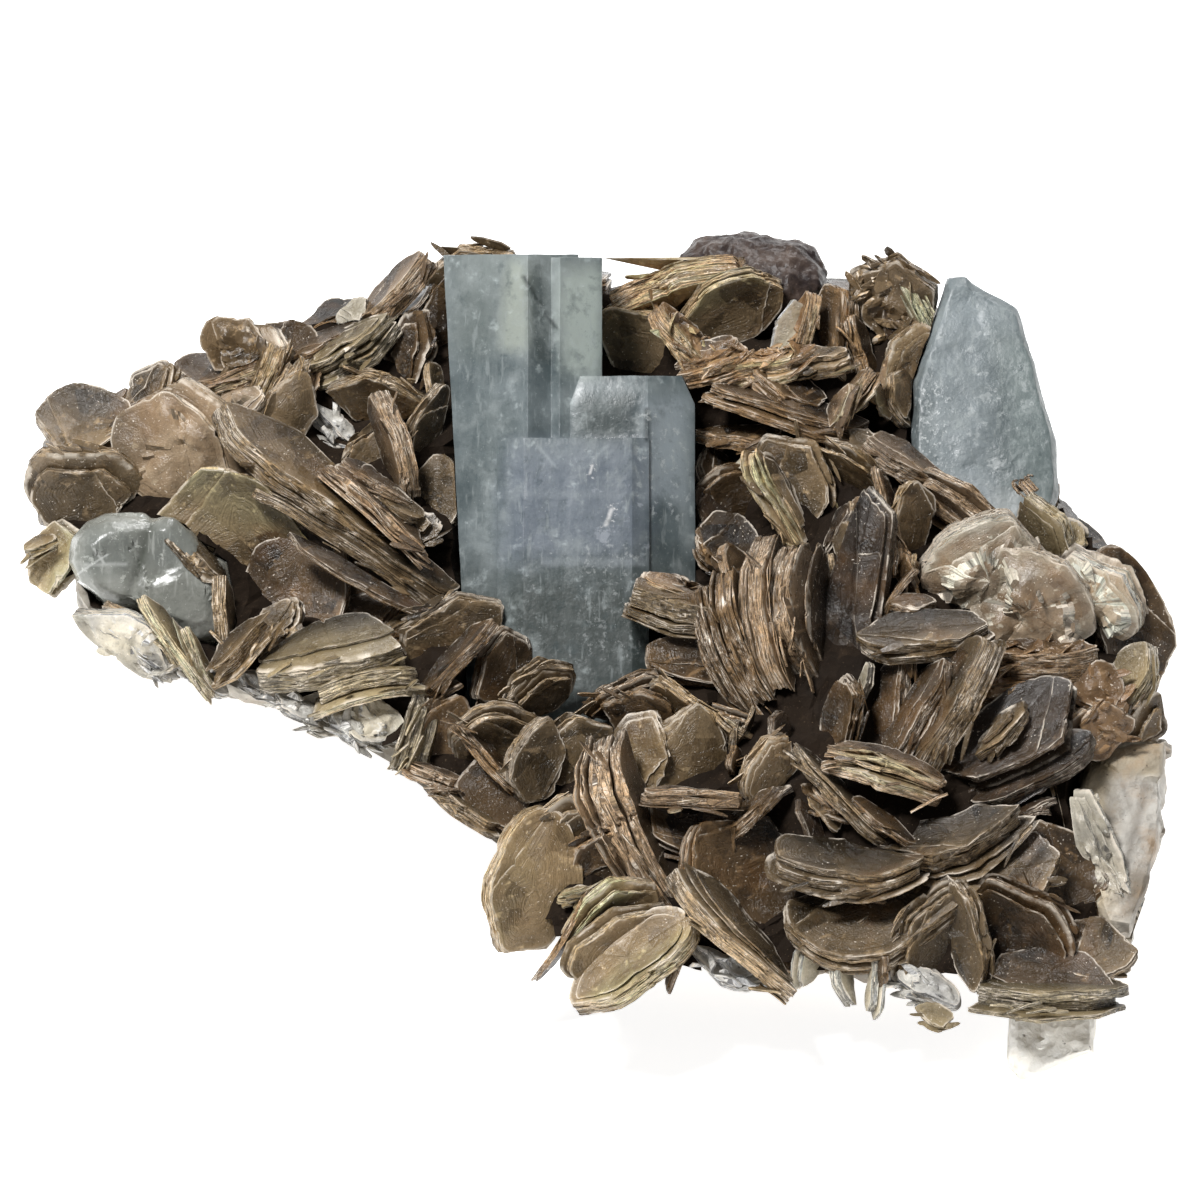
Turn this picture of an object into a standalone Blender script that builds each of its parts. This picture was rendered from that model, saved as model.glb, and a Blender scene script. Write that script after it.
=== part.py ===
"""Aquamarine on muscovite: a cabinet specimen that lies on the flat cut base of its feldspar matrix.

Books of muscovite mica stand in sprays and rosettes on a wedge of albite feldspar. Three aquamarine
crystals, a knob of quartz, a block of albite and a small clear albite tip grow among them.

The tables below are in millimetres and degrees. They place things on the display face, a plane that
leans back FACE_TILT above the horizontal:
    across  to the right      up  along the plane, uphill      out  square to it, away from the rock
The mica crust falls back from that plane as it climbs, so a book's "out" is counted from the crust.
"""

import math
from collections import namedtuple

import bmesh
import bpy
from mathutils import Matrix, Vector, noise

MM = 0.001
FACE_TILT = math.radians(50)
CRUST_FALL = 0.55  # how far the crust drops back from the display face, per unit climbed
FACE_CENTRE = Vector((0, -3.5, 23.6))  # centre of the display face above the middle of the base
SEAT = 0.3  # clear gap between one mineral and the next
CRUST_FLOOR = -7.0  # "out" of the crust's underside
BED_GRIP = 1.3  # depth of a book's foot held in the crust
BED_SOFTNESS = 2.0  # how widely the crust averages the books around, in mm squared
FLAT = 1  # neighbouring faces within this many degrees are one face
BLUNTNESS = 0.52  # how much narrower a book is at its ends than in its middle
LOWEST = 0.4  # height over the cut base below which no rough face reaches
CREST = -5.5  # "out" of the rock's upper face, under the crust
CRYSTAL_LEAN = 0.2  # how far the large crystal's head leans back, per unit of length

ACROSS = Vector((1, 0, 0))
UP = Vector((0, math.cos(FACE_TILT), math.sin(FACE_TILT)))
OUT = Vector((0, -math.sin(FACE_TILT), math.cos(FACE_TILT)))

Book = namedtuple("Book", "across up out length width thick turn tilt bow rise", defaults=(0, 0))

# Each book: centre, then length, width and thickness, then three settings of how it stands.
# turn   its long axis, anticlockwise from "across"
# tilt   turned about the long axis: 0 shows the face, 90 the layered edge
# bow    how far its middle stands proud of its ends, along the face's normal
# rise   how far the long axis comes out of the display face
LEFT_END = [
    Book(-51.6, 17.4, 0.0, 10.0, 8.0, 1.8, 8, 35),
    Book(-51.6, 11.8, 1.0, 11.5, 9.0, 2.0, -5, -25),
    Book(-41.0, 15.3, 2.5, 14.5, 11.0, 2.8, -62, -12, 0.6),
    Book(-54.6, 4.4, -1.4, 8.5, 5.5, 1.6, 75, 20),
    Book(-45.2, 21.0, -1.0, 7.5, 5.0, 1.4, 50, 30),
    Book(-39.0, 22.0, -1.5, 8.5, 6.0, 2.2, 0, 45),
    Book(-34.4, 24.4, 1.0, 7.5, 7.0, 3.0, 60, 15),
    Book(-31.0, 25.4, -0.5, 7.5, 5.0, 2.0, -38, 30),
    Book(-33.8, 22.2, 3.0, 7.0, 4.0, 1.8, 65, 72),
    Book(-31.8, 21.0, 3.6, 8.0, 4.0, 1.8, 58, 70),
    Book(-31.2, 18.8, 3.0, 8.5, 5.5, 1.6, 75, -20),
    Book(-36.2, 19.0, 3.4, 7.5, 4.5, 2.0, 30, 50),
    Book(-36.2, 6.0, 2.0, 13.5, 9.5, 1.8, -15, -15),
    Book(-31.6, 1.8, 1.2, 11.5, 8.0, 1.6, 60, 15),
    Book(-37.8, -1.2, 5.0, 8.0, 4.0, 1.2, -86, 75),
    Book(-42.2, -4.6, 5.0, 12.0, 4.0, 1.0, -57, 70),
    Book(-40.4, -5.4, 4.6, 10.0, 4.0, 1.0, -66, 74),
    Book(-47.0, -3.9, 3.6, 13.5, 5.5, 1.8, -33, -28),
]
LONG_SPRAY = [
    Book(-28.6, 10.8, 4.4, 25.0, 10.0, 3.2, -38, 46, 1.2),
    Book(-25.6, 5.8, 3.6, 26.0, 7.0, 1.8, -31, 62, 0.8),
    Book(-22.4, 8.0, 5.4, 13.5, 5.5, 1.4, -40, 52, 0.5),
    Book(-22.6, 11.2, 5.0, 7.5, 3.5, 1.2, -32, 58),
    Book(-20.6, 15.5, 4.4, 11.0, 4.5, 2.0, -74, -66),
    Book(-23.2, 14.2, 1.6, 7.5, 5.0, 1.2, 60, -15),
    Book(-22.4, 20.8, 2.6, 9.5, 5.5, 1.8, -12, -38, 0.6),
    Book(-25.0, 25.2, 2.0, 10.0, 6.0, 3.0, 32, 60),
    Book(-24.6, 28.8, 0.0, 5.0, 4.0, 1.8, 30, 20),
    Book(-20.6, 30.8, 1.6, 10.0, 4.5, 2.2, 46, 66),
    Book(-19.0, 25.0, 0.8, 9.5, 5.5, 1.4, 80, 25),
    Book(-16.8, 27.0, -0.6, 10.5, 5.0, 1.4, 74, -28),
    Book(-12.2, 32.6, -2.0, 10.0, 8.0, 1.8, 3, -25),
    Book(-17.6, 17.2, 1.0, 8.0, 5.5, 1.2, 60, -20),
    Book(-17.7, 7.2, 3.0, 4.5, 3.5, 1.0, 10, 20),
]
LOWER_LEFT = [
    Book(-35.8, -5.0, 5.6, 9.5, 5.0, 1.8, 43, 62),
    Book(-32.5, -3.0, 3.2, 7.5, 5.0, 1.4, 50, 20),
    Book(-26.4, -6.2, 6.2, 14.5, 6.5, 2.4, 12, 42, 1.0),
    Book(-23.6, -9.2, 5.2, 12.0, 5.5, 2.2, 12, 62, 1.5),
    Book(-22.4, -12.2, 3.6, 7.0, 5.0, 1.2, -30, 10),
    Book(-27.2, -11.4, 3.2, 6.5, 4.5, 1.2, -20, 15),
    Book(-19.0, -13.8, 6.2, 9.5, 5.0, 2.6, 72, -70, 1.0),
    Book(-15.8, -13.6, 4.6, 8.5, 6.5, 1.4, 60, -15),
    Book(-14.6, -3.0, 4.2, 10.5, 8.0, 1.6, 25, -20),
    Book(-14.0, -5.9, 6.8, 12.0, 5.0, 1.3, 46, 70),
    Book(-9.6, -7.0, 4.2, 10.0, 6.5, 1.5, 75, -28),
    Book(-6.3, -9.2, 6.8, 8.5, 5.5, 1.5, 36, -32),
    Book(-10.2, -14.0, 5.2, 10.0, 8.5, 1.8, 5, -28),
    Book(-11.0, -15.8, 6.2, 11.5, 4.5, 1.2, -47, 68),
    Book(-6.5, -16.0, 7.4, 8.8, 5.8, 2.0, 62, -28, 0.4),
    Book(-2.6, -14.8, 6.6, 8.8, 6.5, 1.8, 50, -18, 0.4),
    Book(2.2, -9.6, 6.6, 9.5, 4.5, 1.4, 22, -45),
    Book(4.0, -11.1, 7.2, 8.0, 4.5, 1.4, -12, -28),
    Book(9.1, -10.8, 8.0, 9.8, 4.0, 1.2, -37, -55),
    Book(8.8, -15.2, 6.6, 8.8, 5.5, 1.4, 75, -10),
    Book(4.4, -15.4, 7.0, 7.2, 4.2, 1.4, 85, 8),
    Book(3.0, -21.4, 9.2, 19.5, 8.0, 3.6, -70, 66, -1.2),
    Book(9.5, -19.8, 9.2, 11.0, 5.0, 1.4, -3, 76),
    Book(-16.4, -17.6, 6.0, 6.8, 4.0, 1.0, -20, 70),
    Book(-13.3, -20.8, 5.0, 8.4, 4.5, 1.4, -33, 62),
    Book(-10.4, -19.6, 4.4, 9.5, 6.0, 1.6, -40, 15),
]
LOWER_LOBES = [
    Book(-7.5, -28.4, 5.2, 14.0, 9.0, 2.4, 78, -22, 0.6),
    Book(-3.6, -22.6, 7.4, 9.8, 7.0, 2.0, 42, -28, 0.5),
    Book(-0.8, -25.4, 6.6, 7.5, 5.5, 1.5, 30, -20),
    Book(0.8, -30.8, 6.4, 10.5, 6.0, 1.6, 38, -32),
    Book(1.6, -33.6, 6.8, 11.5, 6.0, 1.6, 38, -28),
    Book(3.4, -36.0, 6.0, 13.5, 7.5, 2.6, 38, 35, 0.6),
    Book(12.9, -33.0, 7.4, 17.0, 6.0, 1.8, -45, 66),
    Book(15.6, -29.0, 4.6, 17.5, 12.0, 2.2, -58, 14, 1.0),
    Book(15.0, -21.2, 7.2, 8.5, 4.5, 1.2, 43, 66),
    Book(16.5, -16.6, 8.4, 7.2, 4.5, 1.8, 60, -28),
    Book(20.8, -35.2, 4.6, 6.5, 4.5, 1.2, 60, -18),
    Book(23.8, -36.6, 4.6, 7.5, 4.0, 1.2, -76, 50),
    Book(27.2, -38.0, 5.0, 6.8, 4.0, 1.2, 84, 40),
    Book(12.4, -36.4, 3.0, 8.5, 4.5, 1.4, -20, 20),
]
FRONT_ROSETTE = [
    Book(27.8, -17.4, 10.8, 13.0, 6.0, 2.2, -17, 66, 0.8),
    Book(23.6, -19.3, 10.2, 15.0, 5.0, 1.2, -45, 70),
    Book(35.6, -23.3, 9.6, 16.5, 9.0, 2.4, 20, 44, -1.5),
    Book(23.8, -26.2, 10.2, 14.5, 7.5, 2.0, -3, 48, -1.2),
    Book(27.0, -30.6, 7.2, 17.0, 11.0, 2.0, 5, 36, -1.5),
    Book(40.0, -26.6, 7.6, 10.5, 7.0, 1.6, 8, 38, -0.8),
    Book(32.2, -33.8, 6.2, 10.0, 6.0, 1.4, 62, -20),
    Book(36.1, -33.6, 6.8, 9.6, 4.8, 1.4, -78, -32),
    Book(41.4, -33.0, 5.8, 12.0, 9.0, 1.8, -42, -18, 0.6),
    Book(44.2, -39.6, 5.6, 15.0, 7.0, 2.2, 0, 70),
    Book(44.4, -37.0, 4.6, 13.0, 5.5, 1.4, -5, 30),
    Book(49.6, -34.8, 3.8, 7.5, 5.5, 1.4, -5, 20),
    Book(45.6, -27.6, 3.6, 12.5, 8.5, 1.8, -70, 10),
]
RIGHT_ROSETTE = [
    Book(25.2, -1.6, 7.2, 26.0, 7.0, 1.8, 78, 22),
    Book(20.3, -1.8, 9.8, 14.5, 6.5, 2.6, -85, 58, -0.8),
    Book(17.6, -1.6, 9.2, 18.0, 7.0, 2.6, -80, 62, -1.0),
    Book(15.0, -4.6, 8.4, 16.5, 6.5, 2.2, -72, 62, -1.0),
    Book(13.2, -5.2, 7.6, 18.0, 6.0, 2.0, -66, 62, -1.4),
    Book(24.2, -12.0, 8.4, 10.0, 4.5, 1.4, 80, 45),
    Book(32.6, -3.6, 11.2, 13.0, 6.5, 1.8, 3, 52),
    Book(43.8, -6.4, 8.2, 12.5, 6.5, 2.8, 2, 58),
    Book(35.0, -11.0, 10.2, 16.0, 7.0, 2.6, 62, 62),
    Book(31.0, -11.4, 8.6, 14.0, 6.0, 1.8, 58, 58),
    Book(28.6, -10.4, 7.0, 11.0, 5.5, 1.4, 74, 50),
    Book(40.6, -14.0, 8.2, 17.0, 8.0, 1.8, 33, 34),
    Book(43.0, -17.0, 7.0, 13.0, 6.0, 1.6, 28, 40),
    Book(39.8, -13.0, 10.2, 8.0, 4.0, 1.3, 43, 56),
    Book(31.0, 8.0, 8.0, 7.2, 5.0, 1.6, 80, -15),
    Book(28.8, 4.6, 8.4, 5.5, 3.5, 1.6, 88, 62),
    Book(30.0, 14.0, 6.2, 7.5, 5.5, 2.4, -15, 30),
    Book(25.2, 13.4, 6.6, 7.5, 5.0, 1.8, -25, -36),
    Book(36.2, 9.6, 6.2, 8.0, 6.0, 1.6, -40, -42),
    Book(12.8, 5.0, 3.0, 9.0, 7.0, 1.4, -30, 25),
    Book(13.0, 10.6, 2.6, 9.0, 6.0, 1.4, 20, -20),
]
RIGHT_EDGE = [
    Book(38.4, 3.6, 7.0, 12.5, 10.0, 3.2, 12, -22, 1.5),
    Book(43.2, -0.4, 6.2, 13.5, 11.0, 3.2, -35, -10, 1.8),
    Book(50.2, 0.8, 4.2, 10.5, 8.0, 2.6, -50, -22, 1.0),
    Book(52.4, -2.6, 1.0, 15.5, 8.0, 2.2, -78, 20, 0.6),
    Book(49.4, -9.0, 7.0, 6.5, 5.5, 1.6, -30, 20),
    Book(50.2, -12.8, 7.0, 6.5, 5.0, 1.6, 40, -20),
    Book(52.8, -8.4, 5.0, 8.5, 5.0, 2.0, 62, 38),
    Book(54.0, -12.6, 3.0, 7.0, 5.0, 1.6, 70, -30),
    Book(44.6, 7.4, 5.0, 7.2, 4.5, 1.6, -55, -45),
    Book(46.8, 6.4, 3.4, 6.0, 4.5, 1.6, -35, 30),
]
TOP = [
    Book(7.4, 31.0, 3.0, 15.0, 7.0, 2.6, 15, -52),
    Book(13.2, 29.8, 3.6, 10.5, 7.5, 1.6, 22, -22),
    Book(18.2, 27.4, 6.0, 5.2, 3.8, 1.2, 58, -10),
    Book(20.2, 27.0, 5.0, 7.8, 4.5, 1.8, 75, 60),
    Book(23.6, 26.8, 3.6, 9.5, 5.5, 1.8, 82, 46),
    Book(26.0, 24.6, 4.0, 9.5, 4.5, 1.5, -74, 55),
    Book(29.4, 30.6, 4.6, 9.5, 9.0, 3.0, -20, -18, 0.8),
    Book(33.2, 28.6, 5.0, 10.5, 5.5, 2.2, -60, -52),
    Book(31.0, 24.0, 4.6, 8.0, 5.5, 1.6, 60, -10),
    Book(8.6, 25.6, 6.0, 7.2, 5.0, 1.8, -45, 38),
    Book(11.2, 23.4, 6.5, 6.5, 4.5, 1.6, 20, 45),
    Book(16.4, 23.2, 6.6, 10.0, 4.5, 1.8, 10, 55),
    Book(21.8, 24.0, 7.0, 6.5, 4.0, 1.8, 5, 55),
    Book(25.8, 20.8, 7.6, 8.4, 4.0, 1.5, 50, 64),
    Book(18.4, 18.8, 6.2, 17.5, 5.5, 1.6, -17, 64),
    Book(18.6, 20.8, 5.6, 9.0, 5.0, 1.6, -30, 55),
    Book(13.8, 16.2, 4.4, 9.5, 5.0, 1.2, -2, 64),
    Book(19.9, 12.4, 5.6, 10.5, 7.0, 1.5, -62, -12),
    Book(17.8, 9.8, 6.2, 12.0, 4.5, 1.5, -62, 50),
    Book(30.2, 20.4, 4.0, 6.5, 4.5, 1.4, -70, 50),
    Book(4.4, 25.4, 0.0, 10.5, 8.5, 1.8, -40, -26),
]
CRYSTAL_FOOT = [
    Book(6.8, -1.0, 8.8, 11.0, 6.5, 2.8, -14, 48),
    Book(9.4, -6.2, 6.0, 9.5, 5.5, 1.4, -20, 28),
]
BACK_EDGE = [
    Book(-50.0, 18.0, -4.0, 10.0, 7.5, 2.2, 40, 62),
    Book(-54.5, 12.0, -4.5, 10.0, 7.0, 2.2, 88, 66),
    Book(-43.0, 20.6, -4.5, 10.5, 8.0, 2.4, 22, 75),
    Book(-34.5, 24.0, -5.0, 11.5, 8.0, 2.6, 24, 68),
    Book(-25.5, 27.2, -4.6, 11.0, 8.5, 2.4, 18, 78),
    Book(-15.5, 30.4, -4.8, 11.5, 8.0, 2.6, 10, 70),
    Book(-4.5, 31.4, -5.2, 12.0, 8.5, 2.6, -4, 76),
    Book(5.0, 31.8, -5.6, 10.0, 8.0, 2.4, 6, 66),
    Book(27.0, 30.0, -4.6, 11.5, 8.5, 2.6, -6, 74),
    Book(35.0, 25.5, -6.0, 11.0, 8.0, 2.4, -48, 70),
    Book(49.0, 4.0, -4.6, 10.5, 8.0, 2.4, -38, 68),
]
MICA = (
    LEFT_END, LONG_SPRAY, LOWER_LEFT, LOWER_LOBES, FRONT_ROSETTE, RIGHT_ROSETTE, RIGHT_EDGE, TOP,
    CRYSTAL_FOOT, BACK_EDGE,
)  # fmt: skip


def on_face(across, up, out):
    """The point, in metres, at that place on the crust of the display face."""
    return MM * (FACE_CENTRE + across * ACROSS + up * UP + (out - CRUST_FALL * up) * OUT)


def square_to_face(across, up, depth):
    """The same, with the depth counted from the display face itself."""
    return MM * (FACE_CENTRE + across * ACROSS + up * UP + depth * OUT)


def stand(book):
    """The matrix that stands a book in its place, its long axis on X and its face on Z."""
    turn, tilt, rise = (math.radians(angle) for angle in (book.turn, book.tilt, book.rise))
    long_axis = math.cos(turn) * ACROSS + math.sin(turn) * UP
    side = math.cos(turn) * UP - math.sin(turn) * ACROSS
    normal = math.cos(tilt) * OUT + math.sin(tilt) * side
    wide_axis = normal.cross(long_axis)
    axes = Matrix((long_axis, wide_axis, normal)).transposed()
    place = on_face(book.across, book.up, book.out)
    return Matrix.Translation(place) @ (axes @ Matrix.Rotation(-rise, 3, "Y")).to_4x4()


def add_object(name, bm):
    """A mesh object made from the bmesh, with every face turned outward."""
    bmesh.ops.recalc_face_normals(bm, faces=bm.faces)
    mesh = bpy.data.meshes.new(name)
    bm.to_mesh(mesh)
    bm.free()
    thing = bpy.data.objects.new(name, mesh)
    bpy.context.scene.collection.objects.link(thing)
    return thing


def book_solid(number, book):
    """One mica book: a plate with a blunt six- to eight-sided outline, bowed along its length."""
    spans = 4 if book.length > 16 else 3 if book.length > 12.4 else 2
    bm = bmesh.new()
    bmesh.ops.create_grid(bm, x_segments=spans, y_segments=1, size=0.5)
    for vert in bm.verts:
        along = 2 * vert.co.x
        end = max(0.0, abs(along) - (1 - 2 / spans)) * spans / 2
        half_width = book.width / 2 * (1 - BLUNTNESS * end)
        vert.co = (
            along * book.length / 2,
            math.copysign(half_width, vert.co.y),
            book.bow * (1 - along * along) - book.thick / 2,
        )
    skin = bmesh.ops.extrude_face_region(bm, geom=bm.faces[:])["geom"]
    bmesh.ops.translate(bm, verts=[v for v in skin if isinstance(v, bmesh.types.BMVert)], vec=(0, 0, book.thick))
    bmesh.ops.scale(bm, vec=(MM, MM, MM), verts=bm.verts)
    bmesh.ops.transform(bm, matrix=stand(book), verts=bm.verts)
    return add_object(f"book {number}", bm)


def bed_level(across, up, books):
    """How high the crust stands there: it rises to hold the feet of the books, and dips in the hollows."""
    total = weights = 0.0
    for hollow_across, hollow_up, level in HOLLOWS:
        weight = 2 / ((across - hollow_across) ** 2 + (up - hollow_up) ** 2 + BED_SOFTNESS) ** 2
        total += weight * level
        weights += weight
    for book in books:
        if book in BACK_EDGE:
            continue
        tilt, rise = math.radians(abs(book.tilt)), math.radians(abs(book.rise))
        reach = (book.width * math.sin(tilt) + book.thick * math.cos(tilt) + book.length * math.sin(rise)) / 2
        gap = (across - book.across) ** 2 + (up - book.up) ** 2
        weight = 1 / (gap + BED_SOFTNESS) ** 2
        total += weight * (book.out - reach + BED_GRIP)
        weights += weight
    return total / weights


def crust_solid(name, outline, books):
    """The crust of small mica that coats the rock: a sheet whose top follows the feet of the books."""
    bm = bmesh.new()
    bmesh.ops.create_grid(bm, x_segments=18, y_segments=12, size=1)
    ring = [Vector((across, up)) for across, up in outline]
    for vert in bm.verts:
        vert.co = (vert.co.x * 55, vert.co.y * 37 - 2, 0)
    outside = [face for face in bm.faces if not inside(ring, face.calc_center_median())]
    bmesh.ops.delete(bm, geom=outside, context="FACES")
    upper = bmesh.ops.extrude_face_region(bm, geom=bm.faces[:])["geom"]
    crest = {v for v in upper if isinstance(v, bmesh.types.BMVert)}
    for vert in bm.verts:
        across, up, _ = vert.co
        vert.co = on_face(across, up, bed_level(across, up, books) if vert in crest else CRUST_FLOOR)
    bmesh.ops.recalc_face_normals(bm, faces=bm.faces)
    bmesh.ops.dissolve_limit(bm, angle_limit=math.radians(2), verts=bm.verts, edges=bm.edges)
    bmesh.ops.triangulate(bm, faces=bm.faces)
    return add_object(name, bm)


def inside(ring, point):
    """Whether a point lies within a closed outline, by counting the sides it passes."""
    crossings = 0
    for one, two in zip(ring, ring[1:] + ring[:1]):
        if (one.y > point.y) != (two.y > point.y):
            crossings += point.x < one.x + (two.x - one.x) * (point.y - one.y) / (two.y - one.y)
    return crossings % 2 == 1


def hull(name, points):
    """The convex solid around a set of points."""
    bm = bmesh.new()
    for point in points:
        bm.verts.new(point)
    wrapped = bmesh.ops.convex_hull(bm, input=bm.verts)
    loose = {v for v in wrapped["geom_interior"] + wrapped["geom_unused"] if isinstance(v, bmesh.types.BMVert)}
    bmesh.ops.delete(bm, geom=list(loose), context="VERTS")
    bmesh.ops.dissolve_limit(bm, angle_limit=math.radians(1), verts=bm.verts, edges=bm.edges)
    return add_object(name, bm)


def column(name, *sections):
    """A crystal column that leans back as it climbs, through sections of (up, outline of (across, depth))."""
    return hull(
        name,
        [
            square_to_face(across, up, depth - CRYSTAL_LEAN * (up - 10))
            for up, outline in sections
            for across, depth in outline
        ],
    )


def weathered(rock, cuts, grain, swell, still=lambda point: False):
    """Split a hull down to the grain, in mm, and roughen it, leaving the faces where still() holds."""
    bm = bmesh.new()
    bm.from_mesh(rock.data)
    bmesh.ops.triangulate(bm, faces=bm.faces)
    for _ in range(cuts):
        long_edges = [edge for edge in bm.edges if edge.calc_length() > grain * MM]
        bmesh.ops.subdivide_edges(bm, edges=long_edges, cuts=1)
        bmesh.ops.triangulate(bm, faces=bm.faces)
    bm.normal_update()
    shifts = []
    for vert in bm.verts:
        lump = noise.noise(vert.co / (2 * grain * MM)) + 0.7 * noise.noise(vert.co / (grain * MM))
        if not still(vert.co):
            shifts.append((vert, vert.normal * lump * swell * MM))
    for vert, shift in shifts:
        vert.co += shift
        vert.co.z = max(vert.co.z, LOWEST * MM)
    bmesh.ops.dissolve_limit(bm, angle_limit=math.radians(0.5), verts=bm.verts, edges=bm.edges)
    bmesh.ops.triangulate(bm, faces=bm.faces)
    bm.to_mesh(rock.data)
    bm.free()
    return rock


def on_cut_or_crest(point):
    """Whether a point of the rock lies on its flat cut base or on its upper face under the crust."""
    place = point / MM - FACE_CENTRE
    level = place.dot(OUT) + CRUST_FALL * place.dot(UP)
    return point.z < 0.01 * MM or abs(level - CREST) < 0.05


def swollen(thing, gap):
    """A copy of a solid grown evenly by the gap, to cut a seat with."""
    bm = bmesh.new()
    bm.from_mesh(thing.data)
    bm.normal_update()
    shifts = [(vert, vert.normal * gap * MM * vert.calc_shell_factor()) for vert in bm.verts]
    for vert, shift in shifts:
        vert.co += shift
    return add_object(f"{thing.name} seat", bm)


def rock_seat(rock):
    """A copy of the rock, a little larger and raised by the gap, that cuts the underside of the crust."""
    heart = Vector((2, 0, 12)) * MM
    bm = bmesh.new()
    bm.from_mesh(rock.data)
    for vert in bm.verts:
        vert.co = heart + (vert.co - heart) * 1.016 + SEAT * MM * OUT
    return add_object("rock seat", bm)


def combined(target, operands, operation):
    """The target joined with, or cut by, a set of solids; the operands are used up."""
    group = bpy.data.collections.new(f"{target.name} {operation}")
    for thing in operands:
        group.objects.link(thing)
    step = target.modifiers.new(operation, "BOOLEAN")
    step.operation = operation
    step.operand_type = "COLLECTION"
    step.collection = group
    step.solver = "EXACT"
    shaped = target.evaluated_get(bpy.context.evaluated_depsgraph_get())
    result = bpy.data.meshes.new_from_object(shaped)
    target.modifiers.clear()
    target.data = result
    for thing in list(operands):
        bpy.data.objects.remove(thing)
    bpy.data.collections.remove(group)
    return target


def keep_one_body(thing):
    """Keep the largest connected shell and drop crumbs and closed pockets."""
    bm = bmesh.new()
    bm.from_mesh(thing.data)
    unseen = set(bm.faces)
    shells = []
    while unseen:
        shell, edge_of_shell = set(), {unseen.pop()}
        while edge_of_shell:
            shell |= edge_of_shell
            edge_of_shell = {f for g in edge_of_shell for e in g.edges for f in e.link_faces} - shell
        unseen -= shell
        shells.append(shell)
    largest = max(shells, key=lambda shell: sum(face.calc_area() for face in shell))
    crumbs = [face for shell in shells if shell is not largest for face in shell]
    bmesh.ops.delete(bm, geom=crumbs, context="FACES")
    bmesh.ops.dissolve_limit(bm, angle_limit=math.radians(FLAT), verts=bm.verts, edges=bm.edges)
    bmesh.ops.triangulate(bm, faces=bm.faces)
    bm.to_mesh(thing.data)
    bm.free()
    return thing


def stone(name, outline, rings, fall=0.0):
    """A blunt crystal: its outline on the face, drawn in toward the front and back.

    rings holds (depth, scale) pairs, and fall tips its front back, in mm per mm climbed.
    """
    middle_across = sum(across for across, _ in outline) / len(outline)
    middle_up = sum(up for _, up in outline) / len(outline)
    return hull(
        name,
        [
            square_to_face(
                middle_across + (across - middle_across) * scale,
                middle_up + (up - middle_up) * scale,
                depth - fall * (up - middle_up),
            )
            for depth, scale in rings
            for across, up in outline
        ],
    )


def aquamarine_main():
    """The large crystal: hexagonal columns grown side by side along one axis, each with its own end."""
    tall = [(-15.7, -1.0), (-7.2, 4.0), (-2.2, 1.1), (-2.2, -9.5), (-7.2, -12.4), (-15.7, -8.0)]
    tall_foot = [(-13.1, 0.53), *tall[1:5], (-13.1, -9.35)]  # the left face leans in toward the foot
    side = [(-7.6, 1.0), (-4.0, 3.2), (0.2, 0.8), (0.2, -7.4), (-4.0, -9.8), (-7.6, -7.8)]
    short = [(-3.0, 2.7), (4.8, 3.2), (9.5, 0.4), (9.5, -6.4), (4.0, -9.6), (-3.0, -8.0)]
    shoulder = [(-2.0, 2.3), (4.8, 2.8), (8.2, 0.7), (8.2, -5.8), (4.0, -8.6), (-2.0, -7.0)]
    front = [(-10.3, 3.0), (-7.6, 4.5), (3.2, 4.5), (4.9, 3.5), (4.9, -6.0), (-10.3, -6.0)]
    body = column("aquamarine_main", (-12.0, tall_foot), (34.6, tall))
    others = [
        column("side column", (-11.0, side), (34.3, side)),
        column("short column", (1.0, short), (19.6, short), (22.4, shoulder)),
        column("front column", (-12.4, front), (16.2, front)),
    ]
    return combined(body, others, "UNION")


def aquamarine_right():
    """The broad frosted crystal on the right, with a rounded top and a long slanting right side."""
    outline = [
        (34.9, 32.2), (36.6, 32.4), (39.0, 31.0), (42.0, 29.3), (42.4, 27.0), (43.8, 21.5), (45.8, 16.0),
        (46.0, 10.5), (45.0, 7.0), (38.0, 5.0), (31.5, 8.5), (31.2, 17.5), (31.5, 22.0), (34.4, 27.0),
    ]  # fmt: skip
    rings = [(-4.6, 0.92), (-6.0, 1.0), (-13.0, 1.0), (-15.0, 0.9)]
    return stone("aquamarine_right", outline, rings, fall=0.32)


def aquamarine_left():
    """The stubby rounded crystal on the left."""
    outline = [
        (-53.2, 4.0), (-52.6, 6.0), (-51.4, 7.6), (-49.6, 8.5), (-47.0, 8.6), (-42.4, 8.4), (-40.0, 6.0),
        (-37.5, 3.5), (-36.7, 1.0), (-36.8, -4.0), (-39.5, -4.5), (-45.0, -2.2), (-50.0, 0.0), (-52.4, 1.5),
    ]  # fmt: skip
    rings = [(4.4, 0.72), (3.2, 0.92), (1.4, 1.0), (-2.0, 0.98), (-4.2, 0.85)]
    return stone("aquamarine_left", outline, rings)


def quartz_knob():
    """The lumpy knob of grey quartz on the upper edge."""
    outline = [
        (7.6, 32.0), (8.2, 34.8), (9.6, 36.2), (11.8, 36.9), (14.6, 37.2), (17.0, 36.6), (20.2, 36.6),
        (21.6, 35.6), (23.2, 33.4), (23.4, 31.4), (22.0, 28.5), (18.0, 26.5), (12.0, 27.0), (8.4, 29.5),
    ]  # fmt: skip
    rings = [(-13.6, 0.45), (-14.8, 0.8), (-17.4, 0.98), (-21.0, 1.0), (-24.5, 0.85)]
    return weathered(stone("quartz_knob", outline, rings, fall=0.3), 1, 5, 0.7)


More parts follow.
